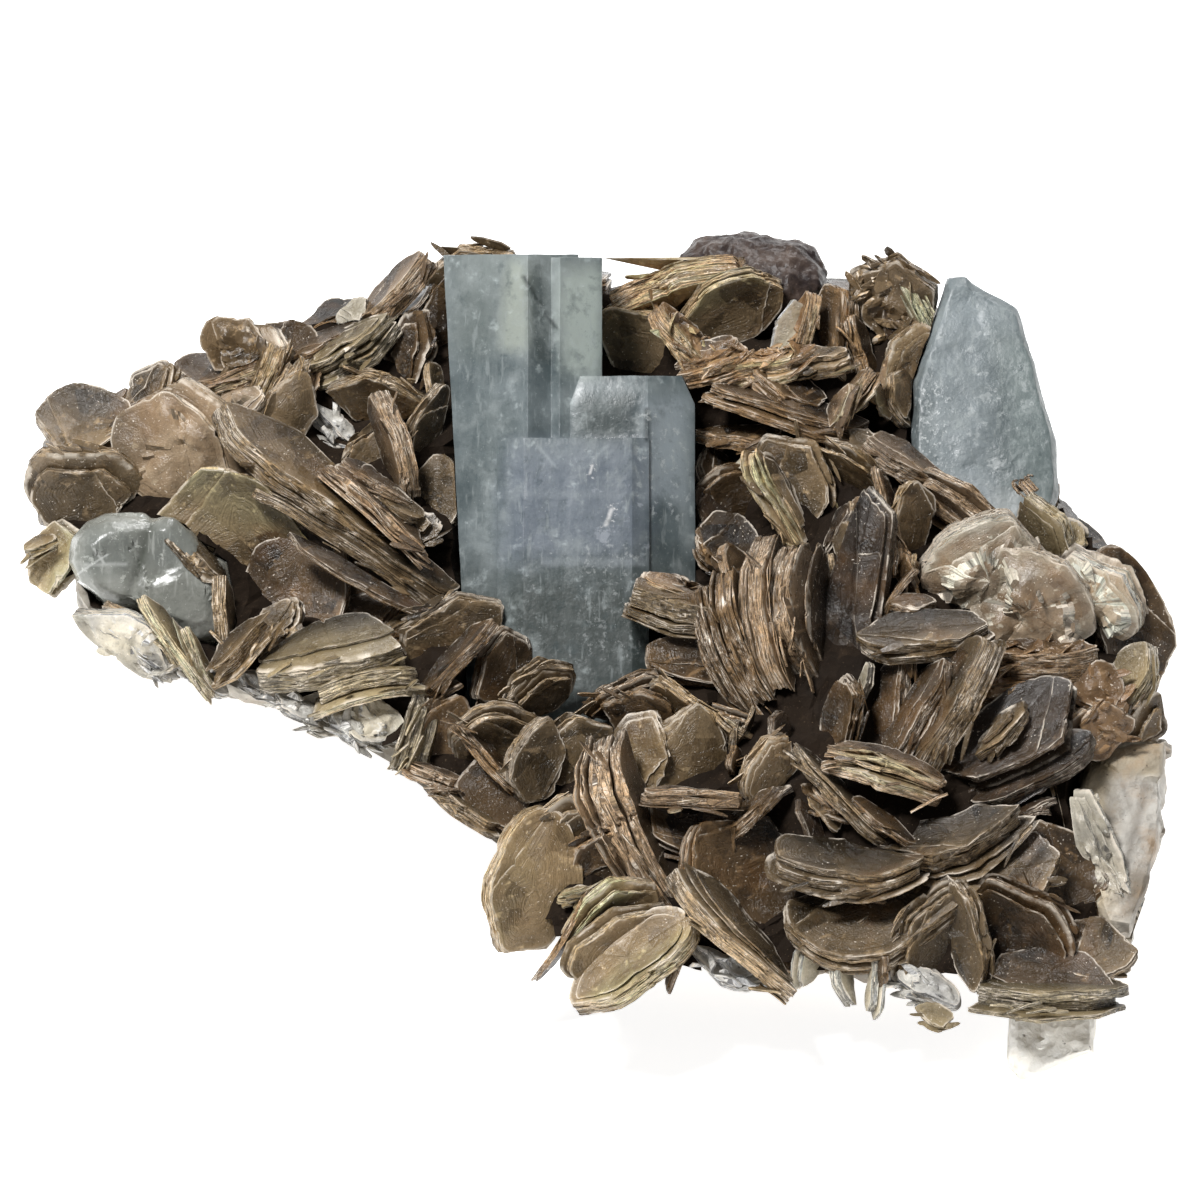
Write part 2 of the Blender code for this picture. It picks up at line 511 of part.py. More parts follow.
def albite_block():
    """The blocky albite crystal at the right-hand end."""
    outline = [
        (48.4, -15.8), (51.0, -14.4), (56.2, -14.1), (56.0, -20.0), (55.5, -25.0), (54.0, -28.0),
        (52.4, -33.4), (50.2, -33.0), (48.4, -28.0), (47.3, -20.0),
    ]  # fmt: skip
    rings = [(17.4, 0.86), (16.6, 0.97), (14.0, 1.0), (9.6, 0.98), (8.2, 0.88)]
    return weathered(stone("albite_block", outline, rings, fall=0.5), 1, 6, 0.5)


def albite_tip():
    """The small clear albite crystal that hangs below the lower right corner."""
    outline = [(40.4, -36.0), (48.8, -36.0), (49.3, -41.5), (49.2, -45.0), (41.6, -47.3), (40.3, -46.0)]
    rings = [(25.2, 0.82), (24.4, 0.97), (22.6, 1.0), (21.0, 0.94)]
    return stone("albite_tip", outline, rings)


def albite_matrix():
    """The wedge of feldspar under the crust, flat where it was cut from the pocket wall."""
    base = [(-17, 5), (3, -29), (50, -33), (54, -15), (50, 26), (10, 40), (-38, 38), (-45, 27)]
    crest = [(49, -36), (54, -14), (49, 1), (40, 14), (35, 26), (8, 31), (-34, 23), (-18, -8), (-8, -18), (0, -31), (10, -36)]
    wing_base = [(-20, 2), (-45, 27), (-38, 38), (-10, 20)]
    wing_edge = [(-52, 12, 22), (-52, -3.5, 22.4), (-46, -8, 20.5), (-47, 5, 12), (-45, 20, 3), (-40, 29, 25)]
    wing_crest = [(-34, -11), (-22, -13.6), (-14, -12), (-14, 20), (-34, 23)]
    wedge = hull(
        "albite_matrix",
        [Vector((x, y, 0)) * MM for x, y in base] + [on_face(across, up, CREST) for across, up in crest],
    )
    wing = hull(
        "wing",
        [Vector((x, y, 0)) * MM for x, y in wing_base]
        + [Vector(point) * MM for point in wing_edge]
        + [on_face(across, up, CREST) for across, up in wing_crest],
    )
    return weathered(combined(wedge, [wing], "UNION"), 3, 13, 3.2, on_cut_or_crest)


# Where the crust dips between the books and round the large crystal: across, up, out.
HOLLOWS = [
    (-2.0, -4.0, -1.0), (2.0, -8.0, 1.0), (-3.0, -9.0, 1.0), (7.0, -4.0, 1.0), (11.0, 6.0, -1.0),
    (11.5, 14.0, -1.0), (22.0, 17.0, 0.0), (27.0, 18.5, -1.0), (-17.0, 12.0, -1.0), (-16.0, 3.0, -1.0),
]  # fmt: skip

CRUST_OUTLINE = [
    (-55, 16), (-47, 21.5), (-34, 26), (-20, 30), (-12, 32.5), (8, 33), (28, 31), (36, 25), (43, 12),
    (52, 3), (51.5, -10), (49, -20), (49.5, -33), (45, -38), (30, -37), (12, -35.5), (3, -38), (-4, -33.5),
    (-9, -29), (-12, -21.5), (-20, -14.5), (-34, -8), (-46, -4), (-53, 0), (-56.5, 3),
]  # fmt: skip


def muscovite(seats):
    """All the mica as one solid: the crust that coats the rock, and the books that stand out of it."""
    table = [book for group in MICA for book in group]
    crust = crust_solid("muscovite", CRUST_OUTLINE, table)
    books = [book_solid(number, book) for number, book in enumerate(table)]
    return combined(combined(crust, books, "UNION"), seats, "DIFFERENCE")


def finish(thing, color, roughness, transmission=0.0):
    """Give the solid its own plain material."""
    material = bpy.data.materials.new(f"{thing.name} material")
    material.use_nodes = True
    shader = material.node_tree.nodes["Principled BSDF"]
    shader.inputs["Base Color"].default_value = (*color, 1)
    shader.inputs["Roughness"].default_value = roughness
    shader.inputs["Transmission Weight"].default_value = transmission
    thing.data.materials.clear()
    thing.data.materials.append(material)


def main():
    for thing in list(bpy.data.objects):
        bpy.data.objects.remove(thing)

    rock = albite_matrix()
    crystals = [
        aquamarine_main(), aquamarine_right(), aquamarine_left(),
        quartz_knob(), albite_block(), albite_tip(),
    ]  # fmt: skip
    seats = [swollen(thing, SEAT) for thing in crystals] + [rock_seat(rock)]
    combined(rock, [swollen(thing, SEAT) for thing in crystals], "DIFFERENCE")
    mica = muscovite(seats)

    for thing in (rock, mica, *crystals):
        keep_one_body(thing)
    aqua, pale = (0.33, 0.42, 0.44), (0.62, 0.58, 0.52)
    finish(rock, (0.52, 0.49, 0.45), 0.7)
    finish(mica, (0.20, 0.15, 0.09), 0.4)
    for thing, color, transmission in zip(
        crystals,
        (aqua, aqua, aqua, (0.22, 0.17, 0.14), pale, pale),
        (0.6, 0.4, 0.5, 0.2, 0.0, 0.3),
    ):
        finish(thing, color, 0.25, transmission)


main()
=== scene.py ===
"""Aquamarine on muscovite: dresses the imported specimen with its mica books, clear crystals and rock.

Lengths in the tables are in millimetres and angles in degrees. They place things on the display
face, a plane that leans back above the horizontal:
    across  to the right      up  along the plane, uphill      out  square to it, away from the rock
The crust of small mica falls back from that plane as it climbs, so "out" is counted from the crust.
"""

from __future__ import annotations

import logging
import math
import random
import sys
from collections.abc import Callable, Iterable, Sequence
from dataclasses import dataclass, field
from enum import Enum

import bmesh
import bpy
from mathutils import Matrix, Vector, noise
from mathutils.bvhtree import BVHTree

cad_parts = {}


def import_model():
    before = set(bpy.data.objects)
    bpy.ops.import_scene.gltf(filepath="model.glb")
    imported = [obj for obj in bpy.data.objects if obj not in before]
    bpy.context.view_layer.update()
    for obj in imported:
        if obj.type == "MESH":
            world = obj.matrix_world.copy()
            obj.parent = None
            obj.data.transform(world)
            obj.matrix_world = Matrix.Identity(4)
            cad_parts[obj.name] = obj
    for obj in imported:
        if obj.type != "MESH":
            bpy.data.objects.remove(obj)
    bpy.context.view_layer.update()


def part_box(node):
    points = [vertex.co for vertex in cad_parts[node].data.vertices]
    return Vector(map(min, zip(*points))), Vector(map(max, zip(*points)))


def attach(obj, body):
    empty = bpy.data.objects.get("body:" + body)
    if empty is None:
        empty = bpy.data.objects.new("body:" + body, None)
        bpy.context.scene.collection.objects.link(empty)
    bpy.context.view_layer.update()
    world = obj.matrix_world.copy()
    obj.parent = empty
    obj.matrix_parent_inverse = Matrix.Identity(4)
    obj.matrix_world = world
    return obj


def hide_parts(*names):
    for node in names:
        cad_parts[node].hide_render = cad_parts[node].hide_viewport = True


LOG = logging.getLogger("specimen")
MM = 0.001
BODY = "root"
Colour = tuple[float, float, float, float]
Range = tuple[float, float]


def linear(code: str) -> Colour:
    """The linear colour of an sRGB hex code.

    Args:
        code: six hex digits after a hash mark.

    Returns:
        Red, green, blue and an alpha of one.
    """
    shares = [int(code[i : i + 2], 16) / 255 for i in (1, 3, 5)]
    red, green, blue = (s / 12.92 if s <= 0.04045 else ((s + 0.055) / 1.055) ** 2.4 for s in shares)
    return red, green, blue, 1.0


def smooth(low: float, high: float, value: float) -> float:
    """A soft step from 0 at low to 1 at high."""
    share = min(1.0, max(0.0, (value - low) / (high - low)))
    return share * share * (3 - 2 * share)


def uneven(x: float, y: float, z: float) -> float:
    """Smooth noise at a place, between about -1 and 1."""
    return noise.noise(Vector((x, y, z)))


@dataclass(frozen=True)
class DisplayFace:
    """The leaning plane on which the crystals and books are laid out."""

    tilt: float = math.radians(50)
    fall: float = 0.55  # how far the crust drops back from the plane for each unit climbed
    centre: Vector = field(default_factory=lambda: Vector((0, -3.5, 23.6)))

    @property
    def across(self) -> Vector:
        """The direction to the right."""
        return Vector((1, 0, 0))

    @property
    def up(self) -> Vector:
        """The direction uphill along the plane."""
        return Vector((0, math.cos(self.tilt), math.sin(self.tilt)))

    @property
    def out(self) -> Vector:
        """The direction away from the rock."""
        return Vector((0, -math.sin(self.tilt), math.cos(self.tilt)))

    def on_crust(self, across: float, up: float, out: float) -> Vector:
        """The point, in metres, with its height counted from the crust."""
        depth = out - self.fall * up
        return MM * (self.centre + across * self.across + up * self.up + depth * self.out)

    def read(self, point: Vector) -> tuple[float, float, float]:
        """Where a point in metres lies: across, up and out from the crust."""
        place = point / MM - self.centre
        up = place.dot(self.up)
        return place.dot(self.across), up, place.dot(self.out) + self.fall * up


FACE = DisplayFace()


@dataclass(frozen=True)
class Lumps:
    """The facets of a weathered face, in millimetres."""

    breadth: float = 2.2
    slope: float = 0.4  # the rise of a facet for each unit of its breadth
    swell: float = 0.4  # how far the middle of the face stands proud


class Tone(Enum):
    """The colours that the books of mica have: that of the face, and that of the frayed edge."""

    OLIVE = ("#362b1a", "#d2b48b")
    UMBER = ("#21180e", "#b29068")
    BRONZE = ("#402f1e", "#f0ca9f")
    TAN = ("#54422b", "#dbba8b")
    CREAM = ("#7c6a48", "#e2cfa9")
    PALE = ("#bdb093", "#ece5d6")
    STAINED = ("#8c765c", "#d5c0a2")
    GOLD = ("#5f4d34", "#d0b58c")
    SMOKY = ("#1d1510", "#846d55")
    ORANGE = ("#745637", "#dcb68a")
    PEARL = ("#8f765a", "#f4e6d2")
    CRUMBLED = ("#40321f", "#b59a76")
    SUGAR = ("#bcb8ae", "#f5f2ec")
    CHALKY = ("#c8bea8", "#f3eee2")

    @property
    def crumbly(self) -> float:
        """How far books of this tone have weathered: their loose chips to the square millimetre."""
        return LOOSE_CHIPS.get(self, 0.0)

    @property
    def lumps(self) -> Lumps:
        """The facets of its weathered face."""
        return LUMPY.get(self, Lumps())

    @property
    def frayed(self) -> bool:
        """Whether slivers stand off the rims of its books."""
        return self not in (Tone.STAINED, Tone.PEARL, Tone.GOLD, Tone.PALE)

    @property
    def angular(self) -> bool:
        """Whether its books are broken to small angular bits."""
        return self in (Tone.PALE, Tone.SUGAR, Tone.CHALKY)


LOOSE_CHIPS = {
    Tone.STAINED: 0.001,
    Tone.ORANGE: 0.2,
    Tone.PEARL: 0.03,
    Tone.CRUMBLED: 0.22,
    Tone.SUGAR: 0.05,
    Tone.CHALKY: 0.04,
}
LUMPY = {
    Tone.PEARL: Lumps(4.4, 0.36, 1.8),
    Tone.STAINED: Lumps(4.6, 0.20, 0.8),
    Tone.ORANGE: Lumps(2.0, 0.35, 0.0),
}


@dataclass(frozen=True)
class Book:
    """One mica book: where it stands on the crust, its size, its stance and its colour.

    turn is its long axis, anticlockwise from "across". tilt turns it about that axis: at 0 its face
    shows, at 90 its layered edge. bow is how far its middle stands proud of its ends.
    """

    across: float
    up: float
    out: float
    length: float
    width: float
    thick: float
    turn: float
    tilt: float
    tone: Tone
    bow: float = 0.0

    def stance(self) -> Matrix:
        """The matrix that stands it in place, its long axis on X and its face on Z, in metres."""
        turn, tilt = math.radians(self.turn), math.radians(self.tilt)
        long_axis = math.cos(turn) * FACE.across + math.sin(turn) * FACE.up
        side = math.cos(turn) * FACE.up - math.sin(turn) * FACE.across
        normal = math.cos(tilt) * FACE.out + math.sin(tilt) * side
        axes = Matrix((long_axis, normal.cross(long_axis), normal)).transposed()
        place = Matrix.Translation(FACE.on_crust(self.across, self.up, self.out))
        return place @ axes.to_4x4() @ Matrix.Scale(MM, 4)

    def place_of(self, x: float, y: float, z: float) -> tuple[float, float, float]:
        """Where a point on the book's own axes lies on the display face, in millimetres."""
        return FACE.read(self.stance() @ Vector((x, y, z)))

    def reach(self) -> float:
        """How far it reaches below and above its centre, square to the crust."""
        tilt = math.radians(abs(self.tilt))
        return (self.width * math.sin(tilt) + self.thick * math.cos(tilt)) / 2

    def arch(self, x: float) -> float:
        """How far the bow lifts it at a distance from its middle."""
        return self.bow * (1 - (2 * x / self.length) ** 2)


@dataclass(frozen=True)
class Blades:
    """The thin blades that grow against a book, their layered edges turned outward."""

    along: Range = (-0.35, 0.35)  # where on the book they stand, in shares of its length
    gap: Range = (0.1, 1.3)
    width: Range = (2.0, 4.2)
    thick: Range = (0.25, 0.9)
    long: Range = (0.4, 0.85)  # their length, in shares of the book's
    shortest: float = 3.5
    lean: Range = (55, 82)
    steep: float = 0.7  # past this share of upright, a book's blades lean as it does
    sunk: Range = (0.2, 1.6)  # how far their tops lie below the book's
    bow: Range = (-0.5, 0.7)
    turn_spread: float = 9.0
    lean_spread: float = 8.0

    def beside(self, book: Book, chance: random.Random) -> Book:
        """One blade that grows against a book."""
        turn, steep = math.radians(book.turn), abs(math.sin(math.radians(book.tilt)))
        along = book.length * chance.uniform(*self.along)
        seen = (book.width * (1 - steep) + book.thick * steep) / 2
        beside = chance.choice((-1, 1)) * (seen + chance.uniform(*self.gap))
        width, lean = chance.uniform(*self.width), math.copysign(chance.uniform(*self.lean), book.tilt)
        if steep > self.steep:
            lean = book.tilt + chance.gauss(0, self.lean_spread)
        top = book.out + book.reach() - chance.uniform(*self.sunk)
        return Book(
            across=book.across + along * math.cos(turn) - beside * math.sin(turn),
            up=book.up + along * math.sin(turn) + beside * math.cos(turn),
            out=top - width / 2 * abs(math.sin(math.radians(lean))),
            length=max(self.shortest, book.length * chance.uniform(*self.long)),
            width=width,
            thick=chance.uniform(*self.thick),
            turn=book.turn + chance.gauss(0, self.turn_spread),
            tilt=lean,
            tone=chance.choice((book.tone, book.tone, Tone.OLIVE, Tone.UMBER, Tone.BRONZE)),
            bow=chance.uniform(*self.bow),
        )


@dataclass(frozen=True)
class Splinters:
    """The thin slivers of sheet that stand off a book's outer rim."""

    along: Range = (-0.42, 0.42)  # where on the book they stand, in shares of its length
    outward: Range = (0.8, 1.02)  # how far out, in shares of the way to its rim
    length: Range = (1.2, 4.2)
    width: Range = (0.35, 1.0)
    thick: Range = (0.1, 0.3)
    bow: float = 0.1
    follow: float = 0.5  # the share of the rim's curve that they turn with
    turn_spread: float = 11.0
    tilt_spread: float = 18.0

    def on(self, book: Book, chance: random.Random) -> Book:
        """One sliver on a book."""
        x = book.length * chance.uniform(*self.along)
        rim = book.width / 2 * math.sqrt(1 - (2 * x / book.length) ** 2) * chance.uniform(*self.outward)
        y = -rim if book.tilt > 0 else rim
        across, up, out = book.place_of(x, y, book.thick * chance.uniform(-0.5, 0.5) + book.arch(x))
        length, width = chance.uniform(*self.length), chance.uniform(*self.width)
        curve = math.copysign(math.degrees(math.atan(2 * x / book.length)), book.tilt or 1)
        turn = book.turn + curve * self.follow + chance.gauss(0, self.turn_spread)
        tilt = book.tilt + chance.gauss(0, self.tilt_spread)
        thick = chance.uniform(*self.thick)
        return Book(across, up, out, length, width, thick, turn, tilt, book.tone, self.bow)


@dataclass(frozen=True)
class Chips:
    """The small torn flakes on a book's weathered face."""

    inward: float = 0.9  # how far out they lie, in shares of the way to its rim
    proud: Range = (-0.15, 0.2)
    length: Range = (1.4, 3.8)
    slim: Range = (0.25, 0.6)  # their width, in shares of their length
    thick: Range = (0.06, 0.16)
    turn_spread: float = 45.0
    tilt_spread: float = 20.0

    def on(self, book: Book, chance: random.Random) -> Book:
        """One flake on a book."""
        angle, share = chance.uniform(0, math.tau), math.sqrt(chance.random()) * self.inward
        x, y = share * math.cos(angle) * book.length / 2, share * math.sin(angle) * book.width / 2
        face = book.arch(x) + book.tone.lumps.swell * (1 - share**2)
        across, up, out = book.place_of(x, y, book.thick / 2 + face + chance.uniform(*self.proud))
        length = chance.uniform(*self.length)
        turn = book.turn + chance.gauss(0, self.turn_spread)
        tilt = book.tilt + chance.gauss(0, self.tilt_spread)
        width = length * chance.uniform(*self.slim)
        thick = chance.uniform(*self.thick)
        return Book(across, up, out, length, width, thick, turn, tilt, book.tone)


LEFT_END: list[Book] = [
    Book(-51.6, 17.4, 0.0, 10.0, 8.0, 1.8, 8, 35, Tone.OLIVE),
    Book(-51.6, 11.8, 1.0, 11.5, 9.0, 2.0, -5, -25, Tone.OLIVE),
    Book(-41.0, 15.3, 2.5, 14.5, 11.0, 2.8, -62, -12, Tone.STAINED, 0.6),
    Book(-54.6, 4.4, -1.4, 8.5, 5.5, 1.6, 75, 20, Tone.CREAM),
    Book(-45.2, 21.0, -1.0, 7.5, 5.0, 1.4, 50, 30, Tone.OLIVE),
    Book(-39.0, 22.0, -1.5, 8.5, 6.0, 2.2, 0, 45, Tone.UMBER),
    Book(-34.4, 24.4, 1.0, 7.5, 7.0, 3.0, 60, 15, Tone.CRUMBLED, 0.5),
    Book(-31.0, 25.4, -0.5, 7.5, 5.0, 2.0, -38, 30, Tone.UMBER),
    Book(-33.8, 22.2, 3.0, 7.0, 4.0, 1.8, 65, 72, Tone.TAN),
    Book(-31.8, 21.0, 3.6, 8.0, 4.0, 1.8, 58, 70, Tone.TAN),
    Book(-31.2, 18.8, 3.0, 8.5, 5.5, 1.6, 75, -20, Tone.OLIVE),
    Book(-36.2, 19.0, 3.4, 7.5, 4.5, 2.0, 30, 50, Tone.STAINED),
    Book(-36.0, 6.4, 2.0, 16.5, 11.5, 1.8, -22, -12, Tone.OLIVE),
    Book(-31.2, 0.6, 0.0, 16.0, 12.0, 1.6, 66, 14, Tone.UMBER),
    Book(-37.8, -1.2, 5.0, 8.0, 4.0, 1.2, -86, 75, Tone.OLIVE),
    Book(-42.2, -4.6, 5.0, 12.0, 4.0, 1.0, -57, 70, Tone.CREAM),
    Book(-40.4, -5.4, 4.6, 10.0, 4.0, 1.0, -66, 74, Tone.CREAM),
    Book(-47.0, -3.9, 3.6, 13.5, 5.0, 1.8, -33, -28, Tone.CHALKY),
]
LONG_SPRAY: list[Book] = [
    Book(-28.6, 10.4, 4.2, 26.0, 7.4, 2.6, -40, 50, Tone.TAN, 1.2),
    Book(-25.6, 5.8, 3.6, 26.0, 7.0, 1.8, -31, 62, Tone.OLIVE, 0.8),
    Book(-22.0, 7.9, 5.4, 15.0, 4.5, 1.5, -42, 70, Tone.BRONZE, 0.5),
    Book(-22.6, 11.4, 5.6, 8.5, 3.5, 1.2, -32, 66, Tone.BRONZE),
    Book(-20.6, 15.5, 4.4, 11.0, 4.5, 2.0, -74, -66, Tone.BRONZE),
    Book(-23.2, 14.2, 1.6, 7.5, 5.0, 1.2, 60, -15, Tone.OLIVE),
    Book(-22.4, 20.8, 2.6, 9.5, 5.5, 1.8, -12, -38, Tone.TAN, 0.6),
    Book(-25.0, 25.2, 2.0, 10.0, 6.0, 3.0, 32, 60, Tone.CREAM),
    Book(-24.6, 28.8, 0.0, 5.0, 4.0, 1.8, 30, 20, Tone.PALE),
    Book(-20.6, 30.8, 1.6, 10.0, 4.5, 2.2, 46, 66, Tone.BRONZE),
    Book(-19.0, 25.0, 0.8, 9.5, 5.5, 1.4, 80, 25, Tone.UMBER),
    Book(-16.8, 27.0, -0.6, 10.5, 5.0, 1.4, 74, -28, Tone.UMBER),
    Book(-12.2, 32.6, -2.0, 10.0, 8.0, 1.8, 3, -25, Tone.OLIVE),
    Book(-17.6, 17.2, 1.0, 9.5, 4.5, 1.2, 68, -52, Tone.OLIVE),
    Book(-17.7, 7.2, 3.0, 4.5, 3.5, 1.0, 10, 20, Tone.OLIVE),
]
LOWER_LEFT: list[Book] = [
    Book(-35.8, -5.0, 5.6, 10.0, 5.0, 2.0, 43, 66, Tone.TAN),
    Book(-32.5, -3.0, 3.2, 7.5, 5.0, 1.4, 50, 20, Tone.OLIVE),
    Book(-26.4, -6.2, 6.2, 15.0, 6.5, 2.8, 12, 56, Tone.CREAM, 1.0),
    Book(-23.6, -9.4, 5.2, 12.5, 5.5, 2.2, 12, 66, Tone.CREAM, 1.5),
    Book(-22.4, -12.2, 3.6, 7.0, 5.0, 1.2, -30, 10, Tone.CHALKY),
    Book(-27.2, -11.4, 3.2, 6.5, 4.5, 1.2, -20, 15, Tone.CHALKY),
    Book(-19.0, -13.8, 6.2, 9.8, 5.0, 2.8, 72, -72, Tone.CREAM, 1.0),
    Book(-15.8, -13.6, 4.6, 8.5, 6.5, 1.4, 60, -15, Tone.UMBER),
    Book(-14.6, -3.0, 4.2, 10.5, 8.0, 1.6, 25, -20, Tone.OLIVE),
    Book(-14.0, -5.9, 6.8, 12.0, 5.0, 1.3, 46, 70, Tone.UMBER),
    Book(-9.6, -7.0, 4.2, 10.0, 6.5, 1.5, 75, -28, Tone.UMBER),
    Book(-6.3, -9.2, 6.8, 8.5, 5.5, 1.5, 36, -32, Tone.OLIVE),
    Book(-10.2, -14.0, 5.2, 10.0, 8.5, 1.8, 5, -28, Tone.OLIVE),
    Book(-11.0, -15.8, 6.2, 11.5, 4.5, 1.2, -47, 68, Tone.UMBER),
    Book(-6.5, -16.0, 7.4, 8.8, 5.8, 2.0, 62, -28, Tone.OLIVE, 0.4),
    Book(-2.6, -14.8, 6.6, 8.8, 6.5, 1.8, 50, -18, Tone.OLIVE, 0.4),
    Book(2.2, -9.6, 6.6, 9.5, 4.5, 1.4, 22, -45, Tone.UMBER),
    Book(4.0, -11.1, 7.2, 8.0, 4.5, 1.4, -12, -28, Tone.UMBER),
    Book(9.1, -10.8, 8.0, 9.8, 4.0, 1.2, -37, -55, Tone.TAN),
    Book(8.6, -15.4, 6.4, 10.5, 8.0, 1.4, 78, -14, Tone.GOLD, 0.5),
    Book(4.0, -15.2, 6.6, 9.5, 7.0, 1.4, 84, 16, Tone.GOLD, 0.5),
    Book(3.0, -21.4, 9.2, 19.5, 8.0, 3.6, -70, 66, Tone.BRONZE, -1.2),
    Book(9.5, -19.8, 9.2, 11.0, 5.0, 1.4, -3, 76, Tone.BRONZE),
    Book(-16.4, -17.6, 6.0, 6.8, 4.0, 1.0, -20, 70, Tone.BRONZE),
    Book(-13.3, -20.8, 5.0, 8.4, 4.5, 1.4, -33, 62, Tone.OLIVE),
    Book(-10.4, -19.6, 4.4, 9.5, 6.0, 1.6, -40, 15, Tone.UMBER),
]
LOWER_LOBES: list[Book] = [
    Book(-7.3, -28.2, 5.2, 15.0, 9.4, 2.6, 74, -22, Tone.GOLD, 0.9),
    Book(-3.6, -22.6, 7.4, 9.8, 7.0, 2.0, 42, -28, Tone.OLIVE, 0.5),
    Book(-0.8, -25.4, 6.6, 7.5, 5.5, 1.5, 30, -20, Tone.UMBER),
    Book(0.8, -30.8, 6.4, 10.5, 6.0, 1.6, 38, -32, Tone.GOLD),
    Book(1.6, -33.6, 6.8, 11.5, 6.0, 1.6, 38, -28, Tone.GOLD),
    Book(3.4, -36.0, 6.0, 13.5, 7.5, 2.6, 38, 35, Tone.GOLD, 0.6),
    Book(12.9, -33.0, 7.4, 17.0, 6.0, 1.8, -45, 66, Tone.OLIVE),
    Book(15.6, -29.0, 4.2, 18.0, 12.5, 2.2, -58, 22, Tone.UMBER, -1.4),
    Book(15.0, -21.2, 7.2, 8.5, 4.5, 1.2, 43, 66, Tone.UMBER),
    Book(16.5, -16.6, 8.4, 7.2, 4.5, 1.8, 60, -28, Tone.OLIVE),
    Book(20.8, -35.2, 4.2, 7.0, 4.0, 1.0, 70, -40, Tone.PALE),
    Book(23.8, -36.6, 4.6, 7.0, 3.0, 1.2, -76, 62, Tone.PALE),
    Book(27.2, -38.0, 5.0, 7.0, 2.6, 1.2, 86, 66, Tone.PALE),
    Book(12.4, -36.2, 3.0, 8.5, 3.6, 1.4, -22, 30, Tone.SUGAR),
]
FRONT_ROSETTE: list[Book] = [
    Book(27.8, -17.4, 10.8, 13.0, 6.0, 2.2, -17, 66, Tone.BRONZE, 0.8),
    Book(23.6, -19.3, 10.2, 15.0, 5.0, 1.2, -45, 70, Tone.OLIVE),
    Book(35.2, -23.3, 9.6, 18.0, 9.5, 2.4, 20, 46, Tone.OLIVE, -1.5),
    Book(24.4, -26.0, 10.2, 15.5, 8.0, 2.0, -3, 50, Tone.OLIVE, -1.2),
    Book(27.0, -30.6, 7.2, 17.0, 11.0, 2.0, 5, 36, Tone.OLIVE, -1.5),
    Book(40.0, -26.6, 7.6, 12.0, 8.0, 1.6, 8, 34, Tone.OLIVE, -0.8),
    Book(32.2, -33.4, 6.2, 11.5, 7.0, 1.4, 62, -26, Tone.OLIVE, -0.6),
    Book(36.3, -33.2, 6.8, 11.0, 5.4, 1.4, -80, -42, Tone.OLIVE, -0.5),
    Book(41.6, -33.0, 5.6, 13.5, 10.0, 1.8, -42, -22, Tone.UMBER, -0.8),
    Book(44.2, -39.6, 5.6, 15.0, 7.0, 2.2, 0, 70, Tone.CREAM),
    Book(44.4, -37.0, 4.6, 13.0, 5.5, 1.4, -5, 30, Tone.UMBER),
    Book(49.0, -34.8, 3.8, 8.5, 6.5, 1.4, -5, 26, Tone.OLIVE),
    Book(45.6, -27.6, 3.6, 12.5, 8.5, 1.8, -70, 10, Tone.UMBER),
]
RIGHT_ROSETTE: list[Book] = [
    Book(25.2, -1.6, 7.2, 26.0, 7.0, 1.8, 78, 22, Tone.SMOKY),
    Book(20.3, -1.8, 9.8, 14.5, 6.5, 2.6, -85, 58, Tone.BRONZE, -0.8),
    Book(17.6, -1.6, 9.2, 18.0, 7.0, 2.6, -80, 62, Tone.BRONZE, -1.0),
    Book(15.0, -4.6, 8.4, 16.5, 6.5, 2.2, -72, 62, Tone.UMBER, -1.0),
    Book(13.2, -5.2, 7.6, 18.0, 6.0, 2.0, -66, 62, Tone.UMBER, -1.4),
    Book(24.2, -12.0, 8.4, 10.0, 4.5, 1.4, 80, 45, Tone.UMBER),
    Book(32.6, -3.6, 11.2, 13.0, 6.5, 1.8, 3, 52, Tone.TAN),
    Book(43.8, -6.4, 8.2, 12.5, 6.0, 3.0, 2, 72, Tone.ORANGE),
    Book(35.0, -11.0, 10.2, 16.0, 7.0, 2.6, 62, 62, Tone.OLIVE),
    Book(31.0, -11.4, 8.6, 14.0, 6.0, 1.8, 58, 58, Tone.UMBER),
    Book(28.6, -10.4, 7.0, 11.0, 5.5, 1.4, 74, 50, Tone.UMBER),
    Book(40.6, -14.0, 8.2, 17.0, 8.0, 1.8, 33, 34, Tone.SMOKY),
    Book(43.0, -17.0, 7.0, 13.0, 6.0, 1.6, 28, 40, Tone.SMOKY),
    Book(39.8, -13.0, 10.2, 8.0, 4.0, 1.3, 43, 56, Tone.OLIVE),
    Book(31.0, 8.0, 7.4, 7.8, 4.8, 1.4, 80, -36, Tone.TAN),
    Book(28.8, 4.6, 8.4, 5.5, 3.5, 1.6, 88, 62, Tone.BRONZE),
    Book(30.0, 14.0, 6.0, 9.0, 4.5, 2.0, -32, 58, Tone.BRONZE),
    Book(25.2, 13.4, 6.2, 8.5, 4.5, 1.5, -36, -58, Tone.TAN),
    Book(36.2, 9.6, 5.8, 9.5, 5.0, 1.8, -38, -58, Tone.BRONZE),
    Book(12.8, 5.0, 3.0, 9.0, 7.0, 1.4, -30, 25, Tone.UMBER),
    Book(13.0, 10.6, 2.6, 9.0, 6.0, 1.4, 20, -20, Tone.UMBER),
]
